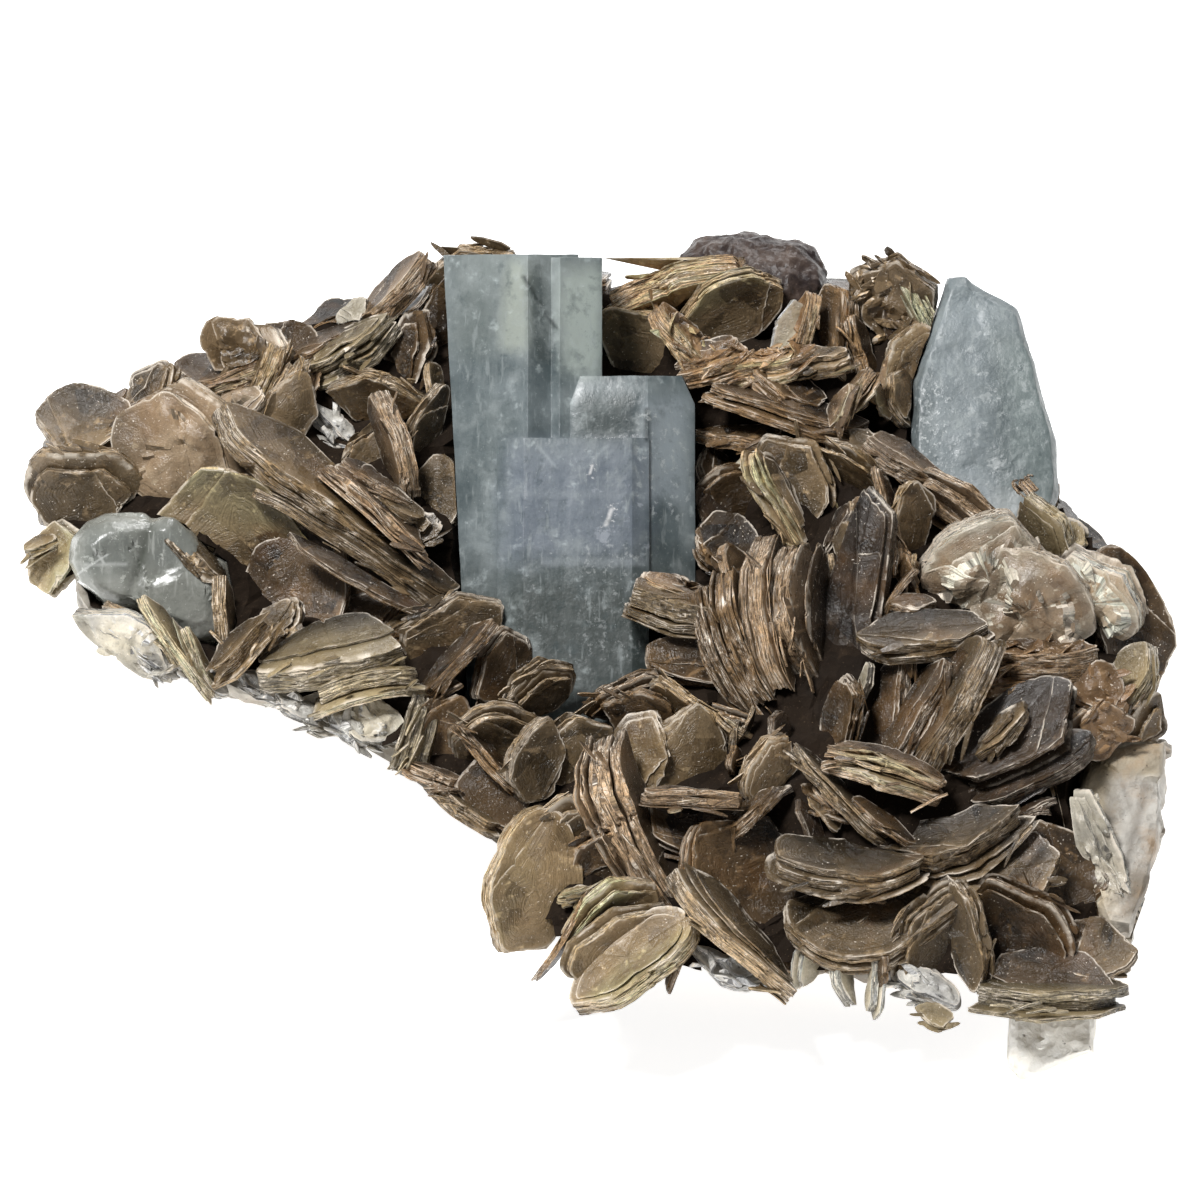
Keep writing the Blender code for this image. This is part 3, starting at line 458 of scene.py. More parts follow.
RIGHT_EDGE: list[Book] = [
    Book(38.4, 3.6, 7.0, 12.5, 10.0, 3.2, 12, -22, Tone.PEARL, 1.5),
    Book(43.2, -0.4, 6.2, 13.5, 11.0, 3.2, -35, -10, Tone.PEARL, 1.8),
    Book(50.2, 0.8, 4.2, 10.5, 8.0, 2.6, -50, -22, Tone.PEARL, 1.0),
    Book(52.4, -2.6, 1.0, 15.5, 8.0, 2.2, -78, 20, Tone.UMBER, 0.6),
    Book(49.4, -9.0, 7.0, 6.5, 5.5, 1.6, -30, 20, Tone.ORANGE),
    Book(50.2, -12.8, 7.0, 6.5, 5.0, 1.6, 40, -20, Tone.ORANGE),
    Book(52.8, -8.4, 5.0, 8.5, 5.0, 2.0, 62, 38, Tone.CREAM),
    Book(54.0, -12.6, 3.0, 7.0, 5.0, 1.6, 70, -30, Tone.TAN),
    Book(44.6, 7.4, 5.0, 7.2, 4.5, 1.6, -55, -45, Tone.CREAM),
    Book(46.8, 6.4, 3.4, 6.0, 4.5, 1.6, -35, 30, Tone.CREAM),
    Book(49.8, -25.4, 4.8, 17.0, 3.8, 1.2, -72, -14, Tone.CHALKY),
]
TOP: list[Book] = [
    Book(7.6, 31.0, 3.0, 15.0, 7.0, 3.0, 16, -60, Tone.ORANGE),
    Book(13.2, 29.8, 4.8, 10.5, 7.0, 1.6, 22, -30, Tone.OLIVE),
    Book(18.8, 27.8, 6.4, 6.2, 3.2, 0.8, 64, -20, Tone.PALE),
    Book(20.2, 27.0, 5.0, 7.8, 4.5, 1.8, 75, 60, Tone.ORANGE),
    Book(23.6, 26.8, 3.6, 9.5, 5.5, 1.8, 82, 46, Tone.UMBER),
    Book(26.0, 24.6, 4.0, 9.5, 4.5, 1.5, -74, 55, Tone.UMBER),
    Book(29.4, 30.6, 4.6, 9.5, 9.0, 3.0, -20, -18, Tone.CRUMBLED, 0.8),
    Book(32.0, 28.2, 4.4, 10.0, 5.0, 2.2, -62, -56, Tone.BRONZE),
    Book(31.0, 24.0, 4.6, 8.0, 5.5, 1.6, 60, -10, Tone.OLIVE),
    Book(8.4, 25.8, 6.0, 8.4, 4.5, 2.2, -50, 64, Tone.ORANGE),
    Book(11.4, 23.2, 6.5, 7.5, 4.5, 2.0, 24, 64, Tone.ORANGE),
    Book(16.4, 23.4, 6.6, 10.5, 4.5, 2.2, 10, 68, Tone.ORANGE),
    Book(21.8, 24.0, 7.0, 6.5, 4.0, 1.8, 5, 55, Tone.OLIVE),
    Book(25.8, 20.8, 7.6, 8.4, 4.0, 1.5, 50, 64, Tone.BRONZE),
    Book(18.4, 18.8, 6.2, 17.5, 5.5, 1.6, -17, 64, Tone.UMBER),
    Book(18.6, 20.8, 5.6, 9.0, 5.0, 1.6, -30, 55, Tone.UMBER),
    Book(13.8, 16.2, 4.4, 9.5, 5.0, 1.2, -2, 64, Tone.UMBER),
    Book(19.9, 12.4, 5.6, 10.5, 7.0, 1.5, -62, -12, Tone.OLIVE),
    Book(17.8, 9.8, 6.2, 12.0, 4.5, 1.5, -62, 50, Tone.OLIVE),
    Book(30.2, 20.4, 4.0, 6.5, 4.5, 1.4, -70, 50, Tone.OLIVE),
    Book(4.4, 25.4, 0.0, 10.5, 8.5, 1.8, -40, -26, Tone.OLIVE),
]
CRYSTAL_FOOT: list[Book] = [
    Book(6.8, -1.0, 8.8, 11.5, 6.0, 2.8, -14, 62, Tone.GOLD),
    Book(9.4, -6.2, 6.0, 9.5, 5.5, 1.4, -20, 28, Tone.UMBER),
]
BACK_EDGE: list[Book] = [
    Book(-50.0, 18.0, -4.0, 10.0, 7.5, 2.2, 40, 62, Tone.UMBER),
    Book(-54.5, 12.0, -4.5, 10.0, 7.0, 2.2, 88, 66, Tone.OLIVE),
    Book(-43.0, 20.6, -4.5, 10.5, 8.0, 2.4, 22, 75, Tone.UMBER),
    Book(-34.5, 24.0, -5.0, 11.5, 8.0, 2.6, 24, 68, Tone.OLIVE),
    Book(-25.5, 27.2, -4.6, 11.0, 8.5, 2.4, 18, 78, Tone.UMBER),
    Book(-15.5, 30.4, -4.8, 11.5, 8.0, 2.6, 10, 70, Tone.OLIVE),
    Book(-4.5, 31.4, -5.2, 12.0, 8.5, 2.6, -4, 76, Tone.UMBER),
    Book(5.4, 30.0, -5.6, 10.0, 8.0, 2.4, 6, 72, Tone.OLIVE),
    Book(27.0, 30.0, -4.6, 11.5, 8.5, 2.6, -6, 74, Tone.UMBER),
    Book(35.0, 25.5, -6.0, 11.0, 8.0, 2.4, -48, 70, Tone.OLIVE),
    Book(49.0, 4.0, -4.6, 10.5, 8.0, 2.4, -38, 68, Tone.UMBER),
    Book(-47.5, 17.6, 0.6, 10.5, 5.5, 2.0, 30, 68, Tone.OLIVE),
    Book(-37.6, 22.0, 0.4, 10.0, 6.0, 1.8, 22, 72, Tone.BRONZE),
    Book(-28.6, 25.0, 0.2, 10.5, 5.5, 2.0, 22, 66, Tone.UMBER),
    Book(-8.6, 30.2, -0.6, 9.5, 6.0, 2.0, 2, 70, Tone.OLIVE),
    Book(27.6, 28.4, -0.4, 9.5, 6.0, 2.0, -12, 68, Tone.OLIVE),
    Book(45.6, 7.8, -0.4, 10.0, 6.0, 2.0, -46, 70, Tone.BRONZE),
    Book(51.0, -0.6, -1.6, 9.0, 6.0, 2.0, -68, 66, Tone.OLIVE),
]
# Small books that fill the gaps between the sprays.
IN_BETWEEN: list[Book] = [
    Book(-24.2, 1.6, -1.0, 9.5, 8.0, 1.4, -20, 10, Tone.UMBER),
    Book(-24.0, -1.8, -0.5, 9.0, 6.0, 1.4, 25, 25, Tone.UMBER),
    Book(-40.4, 4.0, 5.0, 7.5, 3.0, 1.0, -40, 74, Tone.OLIVE),
    Book(-56.0, 5.3, 0.0, 3.4, 3.0, 1.2, 20, 60, Tone.CREAM),
    Book(-43.8, -3.5, 4.8, 7.0, 3.0, 0.8, -60, 70, Tone.CREAM),
    Book(-16.4, 10.2, -0.4, 8.5, 6.5, 1.4, 70, 15, Tone.OLIVE),
    Book(-20.0, 9.5, 4.8, 5.0, 3.0, 1.0, -35, 50, Tone.OLIVE),
    Book(9.8, -23.4, 4.6, 10.5, 7.0, 1.6, -20, 20, Tone.UMBER),
    Book(11.5, -24.5, 4.5, 9.0, 5.0, 1.2, 40, -20, Tone.UMBER),
    Book(-2.4, -29.0, 7.0, 4.0, 2.5, 1.0, 15, 60, Tone.CREAM),
    Book(32.2, -38.2, 3.4, 7.5, 4.2, 1.4, -28, 24, Tone.SUGAR),
    Book(33.0, -41.0, 3.4, 4.0, 2.4, 0.8, -20, 20, Tone.CREAM),
    Book(28.0, -22.0, 9.3, 7.5, 3.0, 0.8, -35, 60, Tone.UMBER),
    Book(42.0, -9.0, 7.8, 11.0, 5.0, 2.0, 6, 66, Tone.ORANGE),
    Book(26.3, -8.3, 9.0, 4.5, 2.0, 0.8, 78, 40, Tone.PALE),
    Book(8.5, 0.8, 8.0, 9.0, 4.0, 1.0, -18, 55, Tone.BRONZE),
    Book(30.4, 28.2, 4.6, 6.0, 4.0, 1.0, -70, 0, Tone.SMOKY),
    Book(14.6, 14.0, 5.5, 3.0, 1.6, 0.8, 40, 35, Tone.PALE),
    Book(24.3, 19.2, 7.5, 5.0, 3.0, 1.2, 65, 60, Tone.BRONZE),
    Book(26.5, 15.3, 5.0, 6.0, 4.0, 1.4, -20, 35, Tone.OLIVE),
    Book(12.5, 12.0, 1.6, 8.0, 5.0, 1.2, -50, 40, Tone.UMBER),
    Book(12.0, 8.0, 1.6, 8.0, 5.0, 1.2, -60, 45, Tone.SMOKY),
    Book(14.0, 1.0, 4.0, 9.0, 5.0, 1.2, -70, 50, Tone.UMBER),
    Book(-26.4, 17.2, 0.2, 8.0, 3.4, 1.0, -48, 34, Tone.SUGAR),
    Book(34.6, 8.4, 4.8, 7.0, 3.5, 1.4, -38, 60, Tone.BRONZE),
    Book(-34.4, -8.4, 2.6, 5.0, 2.6, 1.2, -30, 35, Tone.SUGAR),
    Book(-39.6, -7.4, 2.8, 6.5, 2.6, 1.2, -38, 30, Tone.SUGAR),
    Book(-44.2, -6.2, 2.4, 6.0, 2.4, 1.0, -42, 30, Tone.SUGAR),
    Book(-29.8, -10.6, 3.4, 5.5, 3.0, 1.2, -25, 30, Tone.SUGAR),
    Book(-24.6, -13.0, 3.4, 5.5, 2.6, 1.2, -40, 40, Tone.SUGAR),
]

# Where the crust dips between the books and round the large crystal: across, up, out.
HOLLOWS: list[tuple[float, float, float]] = [
    (-2.0, -4.0, -1.0), (2.0, -8.0, 1.0), (-3.0, -9.0, 1.0), (7.0, -4.0, 1.0), (11.0, 6.0, -1.0),
    (11.5, 14.0, -1.0), (22.0, 17.0, 0.0), (27.0, 18.5, -1.0), (-17.0, 12.0, -1.0), (-16.0, 3.0, -1.0),
]  # fmt: skip

# The edge of the crust, clockwise from its upper left: across, up.
CRUST_OUTLINE: list[tuple[float, float]] = [
    (-55, 16), (-47, 21.5), (-34, 26), (-20, 30), (-12, 32), (8, 30.6), (28, 29.5), (36, 25), (43, 12),
    (52, 3), (51.5, -10), (49, -20), (49.5, -33), (45, -38), (30, -37), (12, -35.5), (3, -38), (-4, -33.5),
    (-7, -28), (-10, -21), (-20, -14.5), (-34, -8), (-46, -4), (-51.5, 0.5), (-54.5, 4),
]  # fmt: skip


def inside_crust(across: float, up: float) -> bool:
    """Whether a place lies within the crust's outline, by counting the sides it passes."""
    crossings = 0
    for (ax, ay), (bx, by) in zip(CRUST_OUTLINE, CRUST_OUTLINE[1:] + CRUST_OUTLINE[:1]):
        if (ay > up) != (by > up):
            crossings += across < ax + (bx - ax) * (up - ay) / (by - ay)
    return crossings % 2 == 1


# --- finishes -------------------------------------------------------------------------------------


@dataclass(frozen=True)
class Zone:
    """A region of a crystal, in millimetres across and up the display face, that has a colour of its own; a
    few are painted glints and painted light.
    """

    across: Range
    up: Range
    colour: str
    strength: float
    soft: float = 1.0  # how wide its borders are
    patchy: float = 0.0  # above 0, the zone shows only in lumps, so many to the millimetre
    lean: float = 0.0  # how far it shifts across for each unit climbed


@dataclass
class Finish:
    """A node material in the making, with the coordinates that its patterns read."""

    name: str

    def __post_init__(self) -> None:
        """Makes the material, with coordinates on the object's own axes and square to the display face."""
        self.material = bpy.data.materials.new(self.name)
        self.material.use_nodes = True
        self.tree = self.material.node_tree
        self.shader = self.tree.nodes["Principled BSDF"]
        self.place = self.add("TexCoord", out="Object")
        self.square = self.add("Mapping", {"Vector": self.place, "Rotation": (-FACE.tilt, 0, 0)})

    def add(
        self, kind: str, links: dict | None = None, out: int | str = 0, **settings: object
    ) -> bpy.types.NodeSocket:
        """Adds one node.

        Args:
            kind: the node's type, without the "ShaderNode" that every one begins with.
            links: its inputs by name or number, each a value or another node's output.
            out: the output that is wanted.
            settings: its properties.

        Returns:
            That output.
        """
        node = self.tree.nodes.new(f"ShaderNode{kind}")
        for name, value in settings.items():
            setattr(node, name, value)
        for name, value in (links or {}).items():
            if isinstance(value, bpy.types.NodeSocket):
                self.tree.links.new(value, node.inputs[name])
            else:
                node.inputs[name].default_value = value
        return node.outputs[out]

    def mottle(
        self,
        per_mm: float | tuple[float, float, float],
        detail: float = 3.0,
        rough: float = 0.6,
        of: object = None,
    ) -> bpy.types.NodeSocket:
        """An uneven pattern.

        Args:
            per_mm: how many lumps it has to the millimetre, or how many along each axis.
            detail: how much finer mottling lies over the lumps.
            rough: how strong that finer mottling is.
            of: the coordinates it lies on, the object's own unless others are given.

        Returns:
            Its value, which stays near a half.
        """
        counts = per_mm if isinstance(per_mm, tuple) else (per_mm,) * 3
        source = self.place if of is None else of
        scaled = self.add("Mapping", {"Vector": source, "Scale": [count / MM for count in counts]})
        return self.add("TexNoise", {"Vector": scaled, "Scale": 1.0, "Detail": detail, "Roughness": rough})

    def paint(
        self,
        under: object,
        over: object,
        where: object,
        low: float,
        high: float,
        most: float = 1.0,
        only: object = 1.0,
    ) -> bpy.types.NodeSocket:
        """Lays one colour over another where a pattern rises.

        Args:
            under: the colour below.
            over: the colour laid on.
            where: the pattern.
            low: the level at which the colour starts.
            high: the level at which it is at its strongest; it may be the lower one.
            most: its share there.
            only: a second pattern that the share is multiplied by.

        Returns:
            The two colours put together.
        """
        links = {"Value": where, "From Min": low, "From Max": high, "To Min": 0.0, "To Max": most}
        share = self.add("Math", {0: self.add("MapRange", links), 1: only}, operation="MULTIPLY")
        return self.add("Mix", {0: share, 6: under, 7: over}, 2, data_type="RGBA")

    def zoned(self, body: object, zones: Iterable[Zone], coarse: object, fine: object) -> object:
        """Lays the colours of the zones over a crystal's body.

        Args:
            body: the crystal's own colour.
            zones: the zones, the first one lowest.
            coarse: a pattern that bends their borders.
            fine: a second, finer one.

        Returns:
            The colours put together.
        """
        across = self.add("SeparateXYZ", {0: self.square}, "X")
        height = self.add("SeparateXYZ", {0: self.square}, "Y")
        up = self.add("Math", {0: height, 1: FACE.centre.dot(FACE.up) * MM}, operation="SUBTRACT")
        sway = self.add("Math", {0: coarse, 1: fine}, operation="ADD")
        for zone in zones:
            shown: object = 1.0
            soft = zone.soft * MM
            bend = 2 * soft  # each pattern stays near a half, so that together they shift a border by this
            climb = {0: up, 1: -zone.lean, 2: zone.lean * zone.up[0] * MM}
            rise = self.add("Math", climb, operation="MULTIPLY_ADD")
            leaning = self.add("Math", {0: across, 1: rise}, operation="ADD")
            for value, (low, high) in ((leaning, zone.across), (up, zone.up)):
                bent = self.add("Math", {0: sway, 1: bend, 2: value}, operation="MULTIPLY_ADD")
                for border, inward in ((low * MM + bend, soft), (high * MM + bend, -soft)):
                    links = {"Value": bent, "From Min": border - inward, "From Max": border + inward}
                    shown = self.add("Math", {0: shown, 1: self.add("MapRange", links)}, operation="MULTIPLY")
            colour = linear(zone.colour)
            if zone.patchy:
                lumps = self.mottle(zone.patchy, 4, 0.7)
                body = self.paint(body, colour, lumps, 0.57, 0.62, zone.strength, shown)
            else:
                body = self.paint(body, colour, shown, 0, 1, zone.strength)
        return body

    def wear(self, **sockets: object) -> bpy.types.Material:
        """Sets or links the shader's sockets, their spaces as underscores, and gives the material."""
        for name, value in sockets.items():
            socket = self.shader.inputs[name.replace("_", " ")]
            if isinstance(value, bpy.types.NodeSocket):
                self.tree.links.new(value, socket)
            else:
                socket.default_value = value
        return self.material


@dataclass(frozen=True)
class MicaFinish:
    """Muscovite, cleaved by nature: pearly olive-brown sheets whose frayed edges show as pale lines."""

    name: str = "muscovite mica"
    edge_lines_per_mm: float = 8.5  # real sheets are far finer; drawn this coarse so that they show
    packs_per_mm: float = 1.7  # thicker packs of sheets, darker in between
    lumps_per_mm: float = 0.4  # patches that are glossier or duller, and where the painted glints show
    fray_per_mm: float = 2.6
    glints_per_mm: float = 5.5
    sheet_cells_per_mm: float = 0.3  # torn steps from one sheet of a face to the next
    # a pale band inside the rim: partly thinner, frayed sheets, partly painted glow of light through them
    pale_rim_mm: float = 0.7
    # painted highlight: the thin bright line just inside a face's rim
    painted_rim_highlight_mm: tuple[float, float] = (0.06, 0.2)
    # painted glints: the pale colour laid where the light would catch edges, rims and faces
    painted_glint: str = "#f8ecdb"
    gap: str = "#18110b"
    rust: str = "#8f6840"
    rough: Range = (0.2, 0.42)
    shine: float = 0.42

    def edge(self, finish: Finish, tone: object, lines: object, fray: object, lit: object) -> object:
        """The colour of the layered edges: pale sheets with dark gaps between them, and painted glints.

        Args:
            finish: the material in the making.
            tone: the book's own edge colour, with its painted shade.
            lines: the pattern of the single sheets.
            fray: the pattern of the torn bits.
            lit: where the painted glints show.

        Returns:
            The colour.
        """
        add, mottle, paint = finish.add, finish.mottle, finish.paint
        grain = add("Attribute", out="Vector", attribute_name="grain")
        packs = mottle((self.packs_per_mm, 0.08, 0.0), 3, 0.6, grain)
        grit = mottle((5.0, 2.6, 0.0), 3, 0.6, grain)
        painted_glint = linear(self.painted_glint)
        dark = add("Mix", {0: 0.88, 6: tone, 7: linear(self.gap)}, 2, data_type="RGBA")
        edge = paint(dark, tone, lines, 0.42, 0.56)
        edge = paint(edge, dark, packs, 0.50, 0.38, 0.7)
        edge = paint(edge, dark, fray, 0.46, 0.34, 0.6)
        # painted glints on the single sheets and on the grit
        edge = paint(edge, painted_glint, lines, 0.54, 0.60, 1.0, lit)
        edge = paint(edge, dark, grit, 0.45, 0.36, 0.55)
        return paint(edge, painted_glint, grit, 0.60, 0.66, 0.9, lit)

    def face(self, finish: Finish, edge_tone_and_shade: object, growth: object, fray: object, lit: object) -> object:
        """The colour of the cleaved faces: the book's tone, clouded, with torn sheets and rust, a pale rim
        that is partly painted glow, a painted highlight along the rim and painted glints.

        Args:
            finish: the material in the making.
            edge_tone_and_shade: the book's own edge colour, with its painted shade.
            growth: the pattern of the lines that run round a face as its rim does.
            fray: the pattern of the torn bits.
            lit: where the painted glints show.

        Returns:
            The colour.
        """
        add, mottle, paint = finish.add, finish.mottle, finish.paint
        tone = add("Attribute", attribute_name="face_tone_and_shade")
        grain = add("Attribute", out="Vector", attribute_name="grain")
        rim = add("SeparateXYZ", {0: grain}, "Z")
        painted_glint, gap = linear(self.painted_glint), linear(self.gap)
        low, high = (edge * MM for edge in self.painted_rim_highlight_mm)
        deep = add("Mix", {0: 0.6, 6: tone, 7: gap}, 2, data_type="RGBA")
        face = paint(deep, tone, mottle(0.17, 4, 0.6), 0.36, 0.62)
        face = paint(face, edge_tone_and_shade, growth, 0.56, 0.76, 0.12)
        cells = {"Vector": finish.place, "Scale": self.sheet_cells_per_mm / MM, "Detail": 1.5}
        face = paint(face, edge_tone_and_shade, add("TexVoronoi", cells, "Color"), 0.3, 1.0, 0.2)
        face = paint(face, linear(self.rust), mottle(0.11, 4), 0.56, 0.68, 0.22)
        face = paint(face, gap, fray, 0.47, 0.36, 0.2)
        # pale rim: partly frayed sheets, partly painted glow of light through the thin rim
        face = paint(face, edge_tone_and_shade, rim, self.pale_rim_mm * MM, 0.0, 0.14)
        # painted highlight along the rim
        face = paint(face, painted_glint, rim, high, low, 0.6, lit)
        askew = add("Mapping", {"Vector": finish.place, "Rotation": (0.7, 0.3, 0.6)})
        face = paint(face, edge_tone_and_shade, mottle((0.9, 0.1, 0.9), 3, 0.6, askew), 0.61, 0.70, 0.4)
        face = paint(face, edge_tone_and_shade, mottle(2.2, 6, 0.8), 0.63, 0.67, 0.4)
        # painted glints: small pale specks on the faces
        return paint(face, painted_glint, mottle(4.2, 2, 0.5), 0.67, 0.72, 0.9, lit)

    def material(self) -> bpy.types.Material:
        """Builds the node material."""
        finish = Finish(self.name)
        add, mottle = finish.add, finish.mottle
        edge_tone_and_shade = add("Attribute", attribute_name="edge_tone_and_shade")
        grain = add("Attribute", out="Vector", attribute_name="grain")
        wall = add("Attribute", out="Fac", attribute_name="wall")
        lines = mottle((self.edge_lines_per_mm, 0.5, 0.0), 4, 0.72, grain)
        growth = mottle((0.0, 0.05, 2.2), 4, 0.65, grain)
        fray = mottle(self.fray_per_mm, 4, 0.7)
        patch = mottle(self.lumps_per_mm, 3)
        lit = add("MapRange", {"Value": patch, "From Min": 0.44, "From Max": 0.56})
        edge = self.edge(finish, edge_tone_and_shade, lines, fray, lit)
        face = self.face(finish, edge_tone_and_shade, growth, fray, lit)
        colour = add("Mix", {0: wall, 6: face, 7: edge}, 2, data_type="RGBA")

        low, high = self.rough
        levels = {"Value": patch, "From Min": 0.3, "From Max": 0.7, "To Min": low, "To Max": high}
        rough = add("MapRange", levels)
        torn = add("Mix", {0: wall, 2: growth, 3: lines})
        skin = add("Bump", {"Height": mottle(0.5, 4, 0.6), "Distance": 0.2 * MM})
        skin = add("Bump", {"Height": fray, "Distance": 0.06 * MM, "Normal": skin})
        skin = add("Bump", {"Height": torn, "Distance": 0.22 * MM, "Normal": skin})
        glints = mottle(self.glints_per_mm, 2, 0.5)
        skin = add("Bump", {"Height": glints, "Distance": 0.05 * MM, "Normal": skin})
        return finish.wear(
            Base_Color=colour, Roughness=rough, Normal=skin, IOR=1.58, Specular_IOR_Level=self.shine
        )


@dataclass(frozen=True)
class BerylFinish:
    """Aquamarine, grown in a pocket: clear pale blue-grey beryl with veils, clouds and etched faces."""

    name: str
    tint: str
    deep: str
    milky: str
    clear: float = 0.5  # the share of the light that goes through
    frost: float = 0.4  # how rough its faces are
    pitted: float = 0.05  # how deep their pits are, in millimetres
    absorbs: str = "#b4cdd0"  # the colour that light takes on inside it
    density: float = 14.0  # how soon, to the metre
    gloss: float = 0.07  # how strong the coat of shine on its faces is
    zones: tuple[Zone, ...] = ()

    def body(self, finish: Finish, fine: object) -> object:
        """The colour of the crystal: its tint with clouds, columns, veils and specks, coarse to fine.

        Args:
            finish: the material in the making.
            fine: the pattern of the fine veils.

        Returns:
            The colour.
        """
        mottle, paint = finish.mottle, finish.paint
        deep, milky = linear(self.deep), linear(self.milky)
        columns = mottle((0.26, 0.028, 0.2), 5, of=finish.square)
        cloud = mottle(0.14, 6, 0.62)
        body = paint(deep, linear(self.tint), cloud, 0.36, 0.64)
        body = paint(body, milky, columns, 0.50, 0.72, 0.5)
        body = paint(body, deep, columns, 0.46, 0.34, 0.45)
        body = finish.zoned(body, self.zones, cloud, fine)
        veils = mottle(0.3, 5, 0.7)
        body = paint(body, milky, veils, 0.53, 0.68, 0.4)
        body = paint(body, deep, veils, 0.45, 0.33, 0.45)
        body = paint(body, milky, fine, 0.57, 0.70, 0.55)
        body = paint(body, deep, fine, 0.43, 0.32, 0.45)
        veins = mottle((1.6, 0.25, 0.8), 3, 0.6, finish.square)
        body = paint(body, milky, veins, 0.60, 0.68, 0.4)
        return paint(body, milky, mottle(3.4, 2, 0.5), 0.69, 0.74, 0.6)

    def material(self) -> bpy.types.Material:
        """Builds the node material."""
        finish = Finish(self.name)
        add, mottle = finish.add, finish.mottle
        fine = mottle(0.62, 6, 0.72)
        body = self.body(finish, fine)
        veiled = {
            "Value": fine,
            "From Min": 0.58,
            "From Max": 0.70,
            "To Min": self.clear,
            "To Max": 0.5 * self.clear,
        }
        dull, duller = 0.7 * self.frost, 1.4 * self.frost
        frosted = {"Value": fine, "From Min": 0.35, "From Max": 0.7, "To Min": dull, "To Max": duller}
        striae = mottle((1.5, 0.012, 1.5), 2, of=finish.square)
        skin = add("Bump", {"Height": mottle(1.6, 4), "Distance": self.pitted * MM})
        skin = add("Bump", {"Height": striae, "Distance": 0.02 * MM, "Normal": skin})
        absorb = add("VolumeAbsorption", {"Color": linear(self.absorbs), "Density": self.density})
        finish.tree.links.new(absorb, finish.tree.nodes["Material Output"].inputs["Volume"])
        return finish.wear(
            Base_Color=body,
            Transmission_Weight=add("MapRange", veiled),
            Roughness=add("MapRange", frosted),
            Normal=skin,
            IOR=1.577,
            Coat_Weight=self.gloss,
            Coat_Roughness=0.2,
            Specular_IOR_Level=0.2,
        )


@dataclass(frozen=True)
class QuartzFinish:
    """Smoky quartz, corroded: lumpy lilac-grey with small pits."""

    name: str = "pitted grey quartz"
    light: str = "#51443d"
    dark: str = "#282020"
    in_pits: str = "#231e1c"
    dusted: str = "#8f8074"

    def material(self) -> bpy.types.Material:
        """Builds the node material."""
        finish = Finish(self.name)
        lumps = finish.mottle(0.35, 5, 0.7)
        colour = finish.paint(linear(self.dark), linear(self.light), lumps, 0.36, 0.66)
        pits = finish.add("TexVoronoi", {"Vector": finish.place, "Scale": 0.9 / MM})
        colour = finish.paint(colour, linear(self.in_pits), pits, 0.28, 0.0, 0.6)
        colour = finish.paint(colour, linear(self.dusted), finish.mottle(2.2, 4, 0.7), 0.60, 0.70, 0.35)
        skin = finish.add("Bump", {"Height": lumps, "Distance": 0.3 * MM})
        skin = finish.add("Bump", {"Height": pits, "Distance": 0.2 * MM, "Normal": skin})
        return finish.wear(Base_Color=colour, Roughness=0.4, Normal=skin, IOR=1.544, Specular_IOR_Level=0.28)


@dataclass(frozen=True)
class AlbiteFinish:
    """Albite feldspar, broken along its cleavage: sugary white-grey, stained where iron crept in."""

    name: str
    white: str
    grey: str
    stain: str
    stained: float  # how strong the stains are
    clear: float = 0.0  # the share of the light that goes through
    zones: tuple[Zone, ...] = ()
    grit: str = "#4b4032"

    def material(self) -> bpy.types.Material:
        """Builds the node material."""
        finish = Finish(self.name)
        add, mottle, paint = finish.add, finish.mottle, finish.paint
        grains = add("TexVoronoi", {"Vector": finish.place, "Scale": 0.75 / MM})
        coarse, fine = mottle(0.12, 5, 0.65), mottle(0.7, 5, 0.7)
        grey = linear(self.grey)
        colour = paint(grey, linear(self.white), coarse, 0.36, 0.62)
        colour = finish.zoned(colour, self.zones, coarse, fine)
        colour = paint(colour, grey, grains, 0.1, 0.7, 0.35)
        colour = paint(colour, grey, fine, 0.46, 0.34, 0.5)
        colour = paint(colour, linear(self.stain), mottle(0.07, 6, 0.7), 0.52, 0.66, self.stained)
        colour = paint(colour, linear(self.grit), mottle(1.3, 3), 0.67, 0.72, 0.8 * (1 - self.clear))
        skin = add("Bump", {"Height": mottle(0.5, 6, 0.65), "Distance": 0.4 * MM})
        skin = add("Bump", {"Height": grains, "Distance": 0.25 * MM, "Normal": skin})
        levels = {"Value": fine, "From Min": 0.3, "From Max": 0.7, "To Min": 0.4, "To Max": 0.72}
        rough = add("MapRange", levels)
        return finish.wear(
            Base_Color=colour, Roughness=rough, Normal=skin, IOR=1.53, Transmission_Weight=self.clear
        )


